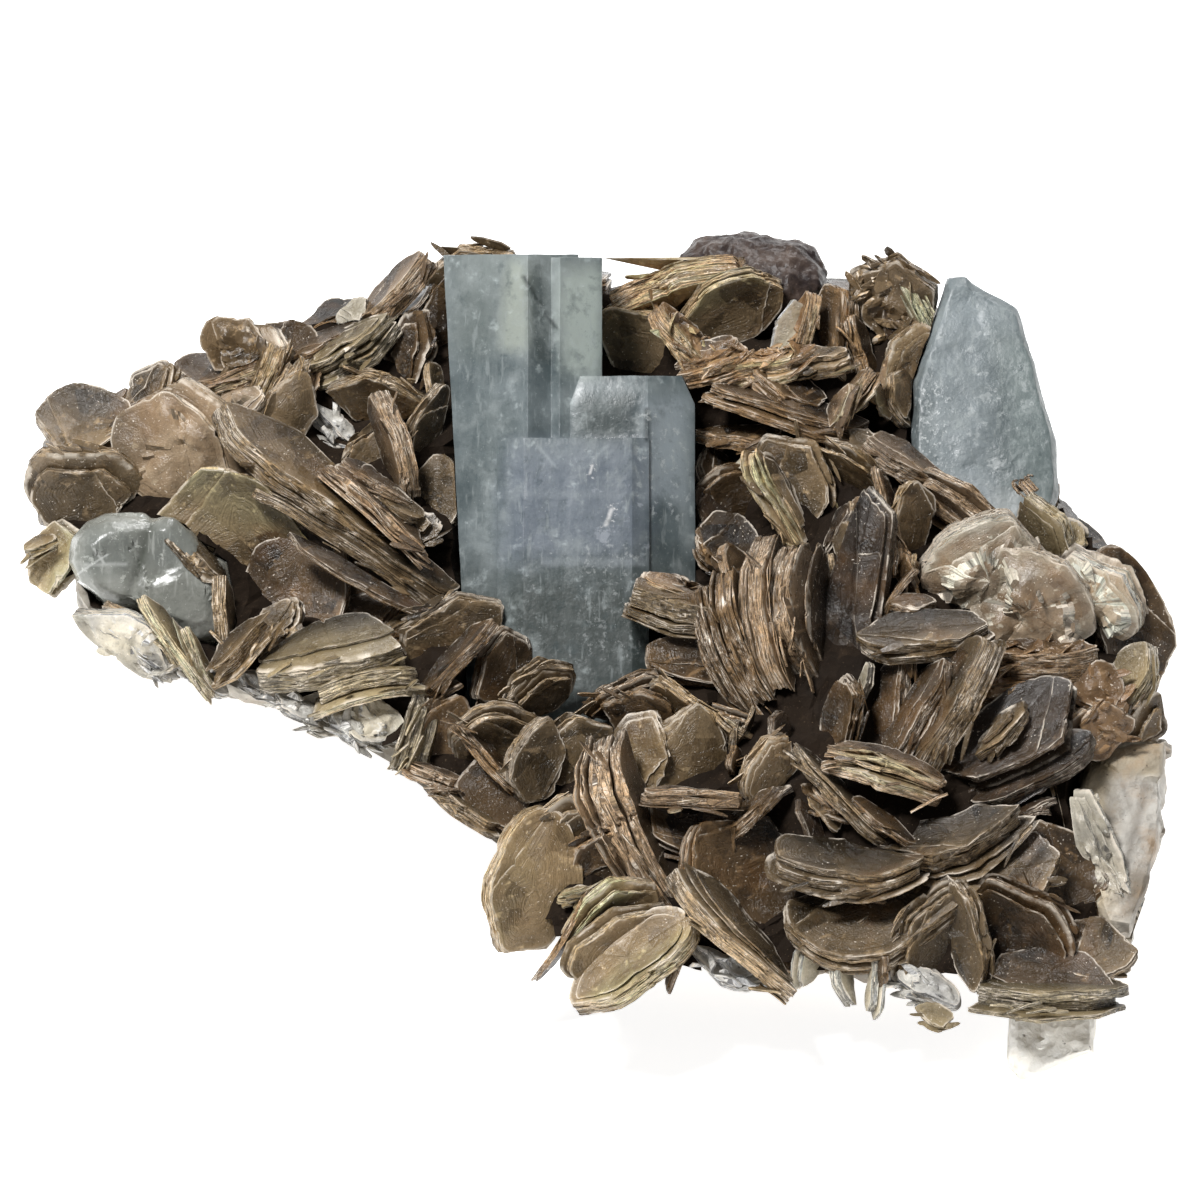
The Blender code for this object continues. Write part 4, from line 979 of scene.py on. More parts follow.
MAIN_ZONES = (
    Zone((-16.0, 10.0), (-13.0, 3.0), "#4b514b", 0.75, 3.0),
    Zone((-15.6, 0.6), (25.0, 36.0), "#a9b1ae", 0.55, 1.8),
    Zone((-14.5, -8.5), (12.0, 20.0), "#8d9899", 0.5, 2.0),
    Zone((-14.2, -11.0), (24.0, 31.0), "#6a7573", 0.55, 1.0),
    Zone((-10.0, -7.2), (25.0, 34.0), "#c4ccc0", 0.8, 0.7, 0.0, 0.08),
    Zone((-6.8, -4.9), (23.5, 34.0), "#4a5453", 0.75, 0.6, 0.0, -0.05),
    Zone((-3.9, 0.2), (22.5, 33.0), "#d2ddd5", 0.85, 0.9),
    Zone((-4.6, -4.1), (27.0, 32.5), "#353e3d", 0.75, 0.2, 0.0, -0.6),
    Zone((-2.6, 8.6), (20.6, 21.6), "#a9b3b5", 0.4, 0.4),
    Zone((-2.2, 5.4), (15.2, 20.4), "#46514f", 0.75, 0.7),
    # painted light: the face of the right column, which turns away from the light, painted paler
    Zone((3.8, 8.8), (9.5, 20.2), "#b9c4ca", 0.75, 0.8),
    Zone((2.6, 3.8), (15.5, 19.5), "#48545a", 0.55, 0.7),
    Zone((4.4, 5.0), (15.8, 19.2), "#343e40", 0.8, 0.2),
    Zone((-9.6, 4.4), (4.2, 15.4), "#8b94a5", 0.55, 1.5),
    Zone((-9.0, 3.0), (13.4, 15.9), "#a8b1b8", 0.4, 0.5),
    Zone((-4.6, -4.2), (13.2, 15.4), "#d3dcdf", 0.35, 0.18, 0.0, -0.8),
    Zone((-1.6, -1.2), (13.2, 15.4), "#d3dcdf", 0.35, 0.18, 0.0, 0.9),
    Zone((-6.0, 4.6), (3.5, 4.0), "#c4ccd2", 0.5, 0.4),
    Zone((-8.0, 3.0), (10.4, 10.8), "#b9c2c6", 0.35, 0.4),
    Zone((-1.0, 6.0), (4.4, 12.0), "#c3cad4", 0.7, 1.2, 0.4),
    # painted glints: small white flashes off the cracks inside
    Zone((0.0, 1.1), (6.9, 9.7), "#ffffff", 1.0, 0.2, 2.4, 0.35),
    Zone((0.4, 0.8), (7.4, 9.2), "#ffffff", 1.0, 0.15, 0.0, 0.35),
    Zone((-1.5, -0.7), (12.0, 14.0), "#ffffff", 1.0, 0.2, 3.0, 0.3),
    Zone((-1.2, -0.95), (12.5, 13.5), "#ffffff", 1.0, 0.1, 0.0, 0.3),
    Zone((-2.0, 6.5), (-6.0, 6.0), "#e6ebeb", 0.35, 0.5, 1.3),
    Zone((3.6, 9.0), (8.0, 19.0), "#e6ebeb", 0.6, 0.5, 1.2),
    Zone((-13.0, 3.0), (-4.0, 3.0), "#6d7774", 0.5, 1.0, 0.3),
)
RIGHT_ZONES = (
    Zone((33.6, 39.6), (6.0, 30.0), "#a3acb0", 0.6, 1.2, 0.0, -0.05),
    Zone((41.0, 46.0), (5.0, 26.0), "#7f8b89", 0.5, 1.4),
    Zone((36.0, 43.0), (10.0, 27.0), "#c9cfcf", 0.5, 1.0, 0.5),
    Zone((31.5, 35.5), (13.0, 22.0), "#e0e5e5", 0.8, 0.8, 2.2),
    Zone((34.6, 38.6), (5.0, 12.0), "#b3babf", 0.5, 1.2),
    Zone((38.8, 42.6), (8.0, 11.0), "#bfc4c4", 0.6, 1.0),
    Zone((31.0, 46.0), (27.0, 33.0), "#969fa3", 0.4, 1.2),
)
LEFT_ZONES = (
    Zone((-51.6, -46.8), (2.6, 7.0), "#7d827d", 0.7, 0.8),
    Zone((-46.0, -41.0), (3.0, 7.0), "#8b908c", 0.6, 0.9),
    Zone((-46.8, -45.9), (2.0, 8.4), "#55594f", 0.6, 0.4, 0.0, 0.25),
    Zone((-52.6, -52.2), (2.4, 4.6), "#e4e6e2", 0.6, 0.1, 0.0, 1.5),
    Zone((-49.6, -49.3), (3.6, 5.2), "#e4e6e2", 0.6, 0.1, 0.0, -0.7),
    Zone((-51.4, -47.2), (3.4, 3.7), "#e4e6e2", 0.5, 0.15),
    Zone((-44.0, -37.0), (-4.5, 1.5), "#b9bbb2", 0.5, 1.2),
    Zone((-41.0, -38.0), (-4.5, -1.5), "#75716a", 0.5, 0.8),
)
BLOCK_ZONES = (
    Zone((46.0, 50.8), (-42.0, -14.0), "#cdbb9a", 0.8, 1.2),
    Zone((49.6, 51.4), (-22.5, -18.5), "#4e4a44", 0.6, 0.7),
    Zone((51.0, 57.0), (-27.5, -14.5), "#c9c6bf", 0.7, 1.0),
    Zone((52.0, 57.0), (-31.5, -26.5), "#6f6250", 0.9, 0.9),
    Zone((46.0, 56.0), (-17.6, -14.0), "#a08e6c", 0.7, 0.6),
    Zone((51.6, 52.4), (-27.0, -18.0), "#6b645b", 0.6, 0.3, 0.0, 0.25),
    Zone((53.6, 54.2), (-25.0, -17.0), "#8b857c", 0.5, 0.3, 0.0, -0.3),
)


# --- mesh helpers ---------------------------------------------------------------------------------


def piece_from(
    name: str, bm: bmesh.types.BMesh, material: bpy.types.Material, slot: str, node: str
) -> bpy.types.Object:
    """Args:
        name: the piece's name.
        bm: its mesh, in metres and in place; it is used up.
        material: its finish.
        slot: the record's material slot that the finish stands for; not used.
        node: the CAD node that it stands for.

    Returns:
        The new object.
    """
    mesh = bpy.data.meshes.new(name)
    bm.to_mesh(mesh)
    bm.free()
    mesh.materials.append(material)
    thing = bpy.data.objects.new(name, mesh)
    bpy.context.scene.collection.objects.link(thing)
    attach(thing, BODY)
    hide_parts(node)
    LOG.info("%s: %d faces", name, len(mesh.polygons))
    return thing


def copy_of(node: str) -> bmesh.types.BMesh:
    """A merged copy of a CAD node's mesh, its flat faces whole again."""
    bm = bmesh.new()
    bm.from_mesh(bpy.data.objects[node].data)
    bmesh.ops.remove_doubles(bm, verts=bm.verts, dist=0.002 * MM)
    bmesh.ops.dissolve_limit(bm, angle_limit=math.radians(0.6), verts=bm.verts, edges=bm.edges)
    return bm


def split_to(bm: bmesh.types.BMesh, grain: float, most_rounds: int = 9) -> None:
    """Splits every edge longer than the grain, in millimetres, until none is left."""
    bmesh.ops.triangulate(bm, faces=bm.faces)
    for _ in range(most_rounds):
        long_edges = [edge for edge in bm.edges if edge.calc_length() > grain * MM]
        if not long_edges:
            break
        bmesh.ops.subdivide_edges(bm, edges=long_edges, cuts=1)
        bmesh.ops.triangulate(bm, faces=bm.faces, quad_method="SHORT_EDGE")


def push(bm: bmesh.types.BMesh, height: Callable[[Vector], float]) -> None:
    """Moves each point along its normal by a height in millimetres."""
    bm.normal_update()
    shifts = [(vert, vert.normal * height(vert.co / MM) * MM) for vert in bm.verts]
    for vert, shift in shifts:
        vert.co += shift


def shade(bm: bmesh.types.BMesh, sharp: float) -> None:
    """Smooths the faces and keeps the edges sharper than that angle, in degrees, crisp.

    A book's walls, which show the edges of its sheets, stay flat.
    """
    bm.normal_update()
    wall = bm.faces.layers.float.get("wall")
    for face in bm.faces:
        face.smooth = not wall or face[wall] < 0.9
    for edge in bm.edges:
        edge.smooth = edge.calc_face_angle(0.0) < math.radians(sharp)


@dataclass
class ClearOf:
    """Keeps points out of the crystals, so that nothing shows inside the clear ones.

    Lengths are in millimetres.
    """

    nodes: Sequence[str]
    gap: float = 0.12  # between a crystal and a point moved out of it
    behind: float = 0.3  # how far behind a crystal the crust is pushed
    crowded: float = 1.2  # how near a crystal the middle of a small book may stand
    free_above: float = -4.0  # how far up the display face the crystals stand free of the mica
    sight: float = 25.0  # how far behind a small book a crystal still counts as hidden by it
    far: float = 60.0  # from how far back the crystals are looked for

    def __post_init__(self) -> None:
        """Reads the crystals' surfaces and boxes once."""
        self.walls = []
        for node in self.nodes:
            bm = copy_of(node)
            bmesh.ops.triangulate(bm, faces=bm.faces)
            low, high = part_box(node)
            self.walls.append((BVHTree.FromBMesh(bm), low, high))
            bm.free()

    def holds(self, book: Book) -> bool:
        """Whether the middle of a book lies against a crystal, or the book hides one that stands free."""
        middle, stance = FACE.on_crust(book.across, book.up, book.out), book.stance()
        places = (-0.45, 0.0, 0.45) if book.up > self.free_above else ()
        spots = [stance @ Vector((x * book.length, 0, 0)) for x in places]
        for wall, low, high in self.walls:
            if any(wall.ray_cast(spot, -FACE.out, self.sight * MM)[0] for spot in spots):
                return True
            if all(low[i] - MM < middle[i] < high[i] + MM for i in range(3)):
                near, normal, _, _ = wall.find_nearest(middle)
                if (middle - near).dot(normal) < self.crowded * MM:
                    return True
        return False

    def move_under(self, bm: bmesh.types.BMesh) -> None:
        """Moves the points that lie in or in front of a crystal to behind it."""
        far, behind, step = self.far * MM, self.behind * MM, FACE.out
        for vert in bm.verts:
            for wall, _, _ in self.walls:
                spot, _, _, _ = wall.ray_cast(vert.co - far * step, step)
                if spot and (vert.co - spot).dot(step) > -behind:
                    vert.co = spot - behind * step

    def move_out(self, bm: bmesh.types.BMesh) -> None:
        """Moves the points that lie in a crystal onto its surface."""
        for vert in bm.verts:
            for wall, low, high in self.walls:
                if any(not low[i] < vert.co[i] < high[i] for i in range(3)):
                    continue
                spot, normal, _, _ = wall.find_nearest(vert.co)
                if (vert.co - spot).dot(normal) < self.gap * MM:
                    vert.co = spot + normal * self.gap * MM


# --- mica -----------------------------------------------------------------------------------------


@dataclass(frozen=True)
class Pack:
    """A pack of sheets within a book, with a torn rim of its own. Lengths are in millimetres."""

    low: float
    high: float
    back: float  # how far its whole rim is drawn in
    shift: tuple[float, float]  # how far it has slid along and across the book
    splay: float  # how far its outer side fans open
    chipped: float  # how deep the chips in its rim are
    salt: float  # where it reads the noise, so that no two packs tear alike
    opened: bool = False  # whether a gap opens below it
    cut: tuple[float, float] | None = None  # a cleavage step across its face: which way, and how far out


@dataclass(frozen=True)
class Ring:
    """One loop of points round a book: its height, how far it is drawn in, and how far it fans open."""

    pack: Pack
    height: float
    inset: float = 0.0
    share: float = 1.0
    loose: float = 1.0
    under: Pack | None = None  # the pack whose face this ring lies on, where it is the foot of a step


@dataclass(frozen=True)
class SheetHabit:
    """How the sheets of a mica book grow, open and tear, in millimetres unless said otherwise."""

    # The outline: an ellipse of that power, 2 being round, with straight breaks at some of its sides.
    blunt_ends: Range = (1.25, 2.1)
    blunt_sides: Range = (1.6, 2.3)
    taper: Range = (-0.3, 0.3)  # how much wider one end is, as a share
    swell: float = 1.07  # how far the ellipse passes the book's size, before the breaks cut it back
    waves: float = 0.05
    sides: int = 6
    broken_sides: tuple[int, int] = (3, 5)
    side_spread: float = 0.13  # in radians
    # The bend of the whole book, for each millimetre of its breadth, which counts up to the broadest.
    broadest: float = 1.8
    cup: Range = (-0.3, 0.55)
    curl: float = 0.35
    twist: float = 0.06
    # The packs of sheets.
    thin_packs: Range = (0.3, 1.0)
    uneven_packs: float = 2.5  # a power: the higher, the more their thicknesses differ
    opened: float = 0.17  # the share of packs with a gap below
    opened_crumbly: float = 0.06
    back: Range = (0.0, 0.6)
    far_back: Range = (0.3, 1.2)
    often_far_back: float = 0.25
    splay: Range = (0.05, 0.5)
    slide: tuple[float, float] = (0.015, 0.02)  # along and across, in shares of the book's size
    stairs: Range = (-0.05, 0.2)
    own_back: Range = (0.0, 0.11)
    chipped: Range = (0.1, 0.55)
    gap_deep: Range = (0.4, 1.6)
    # The cleavage steps on its face.
    step_counts: tuple[int, ...] = (0, 0, 1, 1, 1, 2)
    narrowest_stepped: float = 3.4
    step_in: Range = (0.45, 0.85)
    step_high: Range = (0.06, 0.16)
    # The torn rim.
    ragged: Range = (0.4, 1.5)
    full_ragged: float = 4.0  # a book narrower than this tears less deeply
    full_chipped: float = 5.0  # and one narrower than this is less chipped
    worn_every: float = 4.0
    tear_every: float = 0.8
    fine_tear: float = 0.08
    fine_per_mm: float = 2.9


HABIT = SheetHabit()


@dataclass
class BookShaper:
    """Shapes one book as leaves of packed sheets, torn at the rim and fanned open on its outer side."""

    book: Book
    chance: random.Random
    pack_thick: float = 0.22  # the mean thickness of a pack, in millimetres
    point_gap: float = 0.42  # the way between two points of the rim, in millimetres
    most_points: int = 84
    plain: bool = False  # whether it is a mere sliver, with no cleavage steps
    bright: float = 1.0  # painted light and shade: how much lighter or darker its colours are painted

    def __post_init__(self) -> None:
        """Works out the sizes that every ring shares."""
        book, chance = self.book, self.chance
        mean = math.sqrt(book.length * book.width)
        self.perimeter = math.pi * (1.5 * (book.length + book.width) / 2 - mean / 2)
        fewest = 10 if self.plain else 22
        self.points = max(fewest, min(self.most_points, round(self.perimeter / self.point_gap)))
        self.blunt = chance.uniform(*HABIT.blunt_ends), chance.uniform(*HABIT.blunt_sides)
        self.ragged = chance.uniform(*HABIT.ragged) * min(1.0, book.width / HABIT.full_ragged)
        self.taper = chance.uniform(*HABIT.taper)
        self.outer = -1.0 if book.tilt > 0 else 1.0  # the side of the width that points to the viewer
        broad = min(HABIT.broadest, book.width / 5)
        self.cup = chance.uniform(*HABIT.cup) * broad
        self.curl = chance.gauss(0, HABIT.curl) * broad
        self.twist = chance.gauss(0, HABIT.twist)
        self.salt = chance.uniform(0, 900)
        first = chance.uniform(0, math.tau)
        least = 0.6 if book.tone.angular else 0.78 if abs(book.tilt) < 40 else 0.7
        sides = sorted(chance.sample(range(HABIT.sides), chance.randint(*HABIT.broken_sides)))
        self.breaks = []
        for side in sides:
            turn = first + side * math.tau / HABIT.sides + chance.gauss(0, HABIT.side_spread)
            self.breaks.append((turn, chance.uniform(least, 1.0)))

    def packs(self) -> list[Pack]:
        """The packs of sheets from the lowest to the highest."""
        book, chance = self.book, self.chance
        count = max(1 if self.plain else 3, round(book.thick / self.pack_thick))
        parts = [chance.uniform(*HABIT.thin_packs) ** HABIT.uneven_packs for _ in range(count)]
        heights = [0.0]
        for part in parts:
            heights.append(heights[-1] + part / sum(parts))
        small = self.plain or book.width < HABIT.narrowest_stepped
        steps = 0 if small else chance.choice(HABIT.step_counts)
        often_opened = HABIT.opened_crumbly if book.tone.crumbly else HABIT.opened
        found: list[Pack] = []
        back, splay, shift, stairs = 0.0, 0.0, (0.0, 0.0), chance.uniform(*HABIT.stairs)
        for i in range(count):
            opened = bool(i) and chance.random() < often_opened
            if opened:
                back = chance.uniform(*HABIT.back)
                if chance.random() < HABIT.often_far_back:
                    back += chance.uniform(*HABIT.far_back)
                splay += chance.uniform(*HABIT.splay)
                along, across = (chance.gauss(0, share) for share in HABIT.slide)
                shift = along * book.length, across * book.width - i * stairs * self.outer
            low, high = ((height - 0.5) * book.thick for height in heights[i : i + 2])
            chipped = chance.uniform(*HABIT.chipped) * min(1.0, book.width / HABIT.full_chipped)
            own_back = back + chance.uniform(*HABIT.own_back)
            found.append(Pack(low, high, own_back, shift, splay, chipped, self.salt + 5.3 * i, opened))
        reach = 1.0
        for i in range(steps):
            reach *= chance.uniform(*HABIT.step_in)
            turn, foot = chance.uniform(0, math.tau), found[-1].high
            high = foot + chance.uniform(*HABIT.step_high)
            cut = (turn, max(0.12, reach))
            found.append(Pack(foot, high, back + 0.1, shift, splay, 0.3, self.salt + 71.3 * i, cut=cut))
        return found

    def rings(self) -> list[Ring]:
        """Every ring, from the middle of the underside round to the middle of the top."""
        packs, chance = self.packs(), self.chance
        found = [Ring(packs[0], packs[0].low, 0.4, 0.5, 0), Ring(packs[0], packs[0].low)]
        deepest = 0.16 * self.book.width
        for pack in packs:
            if pack.opened:
                deep = min(deepest, chance.uniform(*HABIT.gap_deep))
                found.append(Ring(pack, pack.low, deep, loose=0.4))
            if pack is not packs[0]:
                found.append(Ring(pack, pack.low, under=found[-1].pack if pack.cut else None))
            found.append(Ring(pack, pack.high))
        top = packs[-1]
        if self.plain:
            return [*found, Ring(top, top.high, 0.1, 0.5, 0.3)]
        if self.book.tone.crumbly:
            return found + [Ring(top, top.high, 0.3, share / 100, share / 100) for share in range(92, 4, -9)]
        inner = ((0.3, 1, 1), (0.8, 0.9, 0.7), (0.9, 0.6, 0.3), (0.9, 0.28, 0))
        return found + [Ring(top, top.high, inset, share, loose) for inset, share, loose in inner]

    def outline(self, angle: float, pack: Pack) -> tuple[float, float]:
        """A point on the rim of a pack, in millimetres on the book's own axes."""
        cos, sin = math.cos(angle), math.sin(angle)
        x = math.copysign(abs(cos) ** (2 / self.blunt[0]), cos)
        y = math.copysign(abs(sin) ** (2 / self.blunt[1]), sin) * (1 + self.taper * x)
        size = HABIT.swell + HABIT.waves * uneven(2.1 * cos, 2.1 * sin, self.salt)
        for turn, reach in (*self.breaks, pack.cut or self.breaks[0]):
            over = x * math.cos(turn) + y * math.sin(turn)
            if over * size > reach:
                size = reach / over
        x, y = x * size * self.book.length / 2, y * size * self.book.width / 2
        radius = math.hypot(x, y) or 1.0
        along = angle * self.perimeter / math.tau
        chip = max(0.0, uneven(3.4 * cos, 3.4 * sin, pack.salt))
        worn = smooth(-0.1, 0.4, uneven(along / HABIT.worn_every, self.salt, 2))
        tear = max(0.0, uneven(along / HABIT.tear_every, pack.salt, 0) - 0.05)
        fine = HABIT.fine_tear * uneven(along * HABIT.fine_per_mm, pack.salt, 4)
        back = pack.back + pack.chipped * chip + self.ragged * worn * tear + fine
        drawn = max(0.4, (radius - back) / radius)
        return x * drawn + pack.shift[0], y * drawn + pack.shift[1]

    def settle(self, spoke: int, ring: Ring) -> tuple[Vector, Vector]:
        """Where one point of a ring stands.

        Args:
            spoke: the point's number round the ring.
            ring: the ring.

        Returns:
            The point in millimetres on the book's own axes, and its place in the grain, in metres:
            through the sheets, along the rim and in from the rim.
        """
        book, pack = self.book, ring.pack
        angle = math.tau * spoke / self.points
        x, y = self.outline(angle, pack)
        radius = math.hypot(x, y) or 1.0
        drawn = max(0.05, (radius - ring.inset) / radius) * ring.share
        x, y = x * drawn, y * drawn
        side = self.outer * 2 * y / book.width
        gaping = 0.8 + 0.8 * uneven(x / 3, 0, pack.salt)
        z = ring.height + pack.splay * ring.loose * max(0.0, side + 0.2) * gaping
        z += book.arch(x) + self.cup * (2 * y / book.width) ** 2 + self.twist * x * y / 3
        z += self.curl * max(0.0, side - 0.2) ** 2
        z += 0.2 * uneven(x / 4, y / 4, self.salt) + 0.03 * uneven(x / 1.1, y / 1.1, pack.salt)
        crumbly = bool(book.tone.crumbly)
        if crumbly and ring.share < 1:
            lumps, spot = book.tone.lumps, Vector((x, y, self.salt))
            lump = facets(spot, lumps.breadth, lumps.slope)
            lump += facets(spot, lumps.breadth / 2.6, 0.7 * lumps.slope)
            z += lump * min(1.0, 4 * (1 - ring.share)) + lumps.swell * (1 - ring.share**2)
        inward = 9.0 if self.plain else min(1.2 if crumbly else 9.0, radius * (1 - drawn))
        if ring.under:
            inward = max(0.0, math.hypot(*self.outline(angle, ring.under)) - radius)
        grain = Vector((ring.height + self.salt, angle * self.perimeter / math.tau, inward))
        return Vector((x, y, z)), grain * MM

    def build(self) -> bmesh.types.BMesh:
        """The book as a closed mesh in place, in metres, with its grain and colours."""
        bm = bmesh.new()
        grain = bm.verts.layers.float_vector.new("grain")
        edge_tone_and_shade = bm.verts.layers.float_color.new("edge_tone_and_shade")
        spoke = bm.verts.layers.int.new("spoke")
        rings = self.rings()
        start = bmesh.ops.create_circle(bm, cap_ends=False, segments=self.points, radius=1)["verts"]
        for number, vert in enumerate(start):
            vert[spoke] = number
        rim = bm.edges[:]
        for vert in start:
            vert.co, vert[grain] = self.settle(vert[spoke], rings[0])
        for ring in rings[1:]:
            grown = bmesh.ops.extrude_edge_only(bm, edges=rim)["geom"]
            new_edges = [part for part in grown if isinstance(part, bmesh.types.BMEdge)]
            rim = [edge for edge in new_edges if len(edge.link_faces) == 1]
            light = 1 + 0.32 * uneven(ring.pack.salt, ring.height * 3, 1)
            for vert in {vert for edge in rim for vert in edge.verts}:
                vert.co, vert[grain] = self.settle(vert[spoke], ring)
                vert[edge_tone_and_shade] = (light, light, light, 1)
        open_edges = [edge for edge in bm.edges if edge.is_boundary]
        caps = bmesh.ops.edgeloop_fill(bm, edges=open_edges)["faces"]
        bmesh.ops.poke(bm, faces=caps)
        bmesh.ops.recalc_face_normals(bm, faces=bm.faces)
        bm.normal_update()
        wall = bm.faces.layers.float.new("wall")
        for face in bm.faces:
            face[wall] = 1 - smooth(0.5, 0.8, abs(face.normal.z))
        self.colour(bm)
        bmesh.ops.transform(bm, matrix=self.book.stance(), verts=bm.verts)
        bm.verts.layers.int.remove(bm.verts.layers.int["spoke"])
        return bm

    def colour(self, bm: bmesh.types.BMesh) -> None:
        """Gives each point the book's tones with painted shade: darker toward its foot, where it lies deep
        among the others.
        """
        book, stance = self.book, self.book.stance()
        lift_y, lift_z = ((stance.col[i].to_3d() / MM).dot(FACE.out) for i in (1, 2))
        reach = max(0.4, book.reach())
        # a book that reaches 1.6 mm or more above and below its middle takes the full painted shade
        foot = min(1.0, reach / 1.6)
        # painted light and shade of the spray, with a little random tone from book to book
        bright = self.bright * self.chance.gauss(1.0, 0.16)
        face, edge = (linear(code) for code in book.tone.value)
        face_tone_and_shade = bm.verts.layers.float_color.new("face_tone_and_shade")
        edge_tone_and_shade = bm.verts.layers.float_color["edge_tone_and_shade"]
        for vert in bm.verts:
            # painted shade: each point is darker the lower it lies on the book, toward the foot that sits
            # deep
            height = (vert.co.y * lift_y + vert.co.z * lift_z) / reach
            lit = bright * (1 - foot * (1 - (0.1 + 1.08 * smooth(-0.9, 0.9, height))))
            share = lit * (vert[edge_tone_and_shade][0] or 1.0)
            vert[face_tone_and_shade] = [min(1.0, lit * part) for part in face]
            vert[edge_tone_and_shade] = [min(1.0, share * part) for part in edge]


def crosses(small: Book, named: Iterable[Book]) -> bool:
    """Whether a small book would stick out through the open face of one of the named ones."""
    stance = small.stance()
    half_length, half_width = 0.45 * small.length, 0.45 * small.width
    grid = [(x, y) for x in (-1, 0, 1) for y in (-1, 0, 1)]
    spots = [stance @ Vector((x * half_length, y * half_width, 0)) for x, y in grid]
    for book in named:
        apart = (book.across - small.across) ** 2 + (book.up - small.up) ** 2
        if apart > (book.length + small.length) ** 2 / 4:
            continue
        back = book.stance().inverted()
        for spot in spots:
            x, y, z = back @ spot
            within = (2 * x / book.length) ** 2 + (2 * y / book.width) ** 2 < 0.85
            if within and -0.2 * book.thick < z < 3.5:
                return True
    return False


@dataclass(frozen=True)
class MicaSpray:
    """A spray or rosette of books, joined in one piece, with the small growths round them."""

    name: str
    books: Sequence[Book]
    seed: int
    bright: float = 1.0  # painted light and shade: how much lighter or darker its colours are painted, because some lie deep and others open
    companions: int = 2  # the thin blades beside each book
    splinters: int = 5  # the slivers on the rim of each frayed one

    def build(
        self, clear_of: ClearOf, named: Sequence[Book], material: bpy.types.Material
    ) -> bpy.types.Object:
        """Builds every book, the blades that grow against it and the chips and slivers on it.

        Args:
            clear_of: the crystals that the books stop at.
            named: the books of every table, which a blade may not stick through.
            material: the mica's finish.

        Returns:
            The piece.
        """
        chance = random.Random(self.seed)
        bm = bmesh.new()
        carrier = bpy.data.meshes.new("book")
        for book in self.books:
            self.join(bm, carrier, BookShaper(book, chance, bright=self.bright))
            for _ in range(self.companions):
                blade = Blades().beside(book, chance)
                outside = not inside_crust(blade.across, blade.up)
                if not (outside or clear_of.holds(blade) or crosses(blade, named)):
                    coarser = BookShaper(blade, chance, 0.25, 0.6, 40, bright=self.bright)
                    self.join(bm, carrier, coarser)
            chips = round(book.length * book.width * book.tone.crumbly)
            bits = [Chips().on(book, chance) for _ in range(chips)]
            slivers = self.splinters if book.tone.frayed else 0
            bits += [Splinters().on(book, chance) for _ in range(slivers)]
            for bit in bits:
                if not clear_of.holds(bit):
                    coarsest = BookShaper(bit, chance, 0.3, 0.65, 14, plain=True, bright=self.bright)
                    self.join(bm, carrier, coarsest)
        bpy.data.meshes.remove(carrier)
        clear_of.move_out(bm)
        shade(bm, 32)
        return piece_from(self.name, bm, material, "mica", "muscovite")

    @staticmethod
    def join(bm: bmesh.types.BMesh, carrier: bpy.types.Mesh, shaper: BookShaper) -> None:
        """Adds one book to the piece."""
        one = shaper.build()
        one.to_mesh(carrier)
        one.free()
        bm.from_mesh(carrier)


@dataclass(frozen=True)
class Flakes:
    """The small blades that stand on the crust between the books, in millimetres and degrees."""

    across: Range = (-56, 54)
    up: Range = (-38, 33)
    length: Range = (2.6, 6.5)
    width: Range = (1.8, 3.4)
    thick: Range = (0.25, 0.8)
    tilt: Range = (45, 82)
    turn_spread: float = 22.0
    sunk: float = 0.4  # how deep their feet stand in the crust
    bow: float = 0.4

    def on(self, crust: Crust, chance: random.Random) -> Book | None:
        """One blade turned like the book nearest to it, or none where the place lies off the crust."""
        across, up = chance.uniform(*self.across), chance.uniform(*self.up)
        if not inside_crust(across, up):
            return None
        near = min(crust.books, key=lambda book: (book.across - across) ** 2 + (book.up - up) ** 2)
        length, width = chance.uniform(*self.length), chance.uniform(*self.width)
        tilt = math.copysign(chance.uniform(*self.tilt), near.tilt)
        lift = width / 2 * math.sin(math.radians(abs(tilt))) - self.sunk
        tones = (Tone.UMBER, Tone.UMBER, Tone.SMOKY, Tone.OLIVE, Tone.BRONZE, near.tone)
        tone = chance.choice(tones)
        turn = near.turn + chance.gauss(0, self.turn_spread)
        thick, out = chance.uniform(*self.thick), crust.level(across, up) + lift
        return Book(across, up, out, length, width, thick, turn, tilt, tone, self.bow)


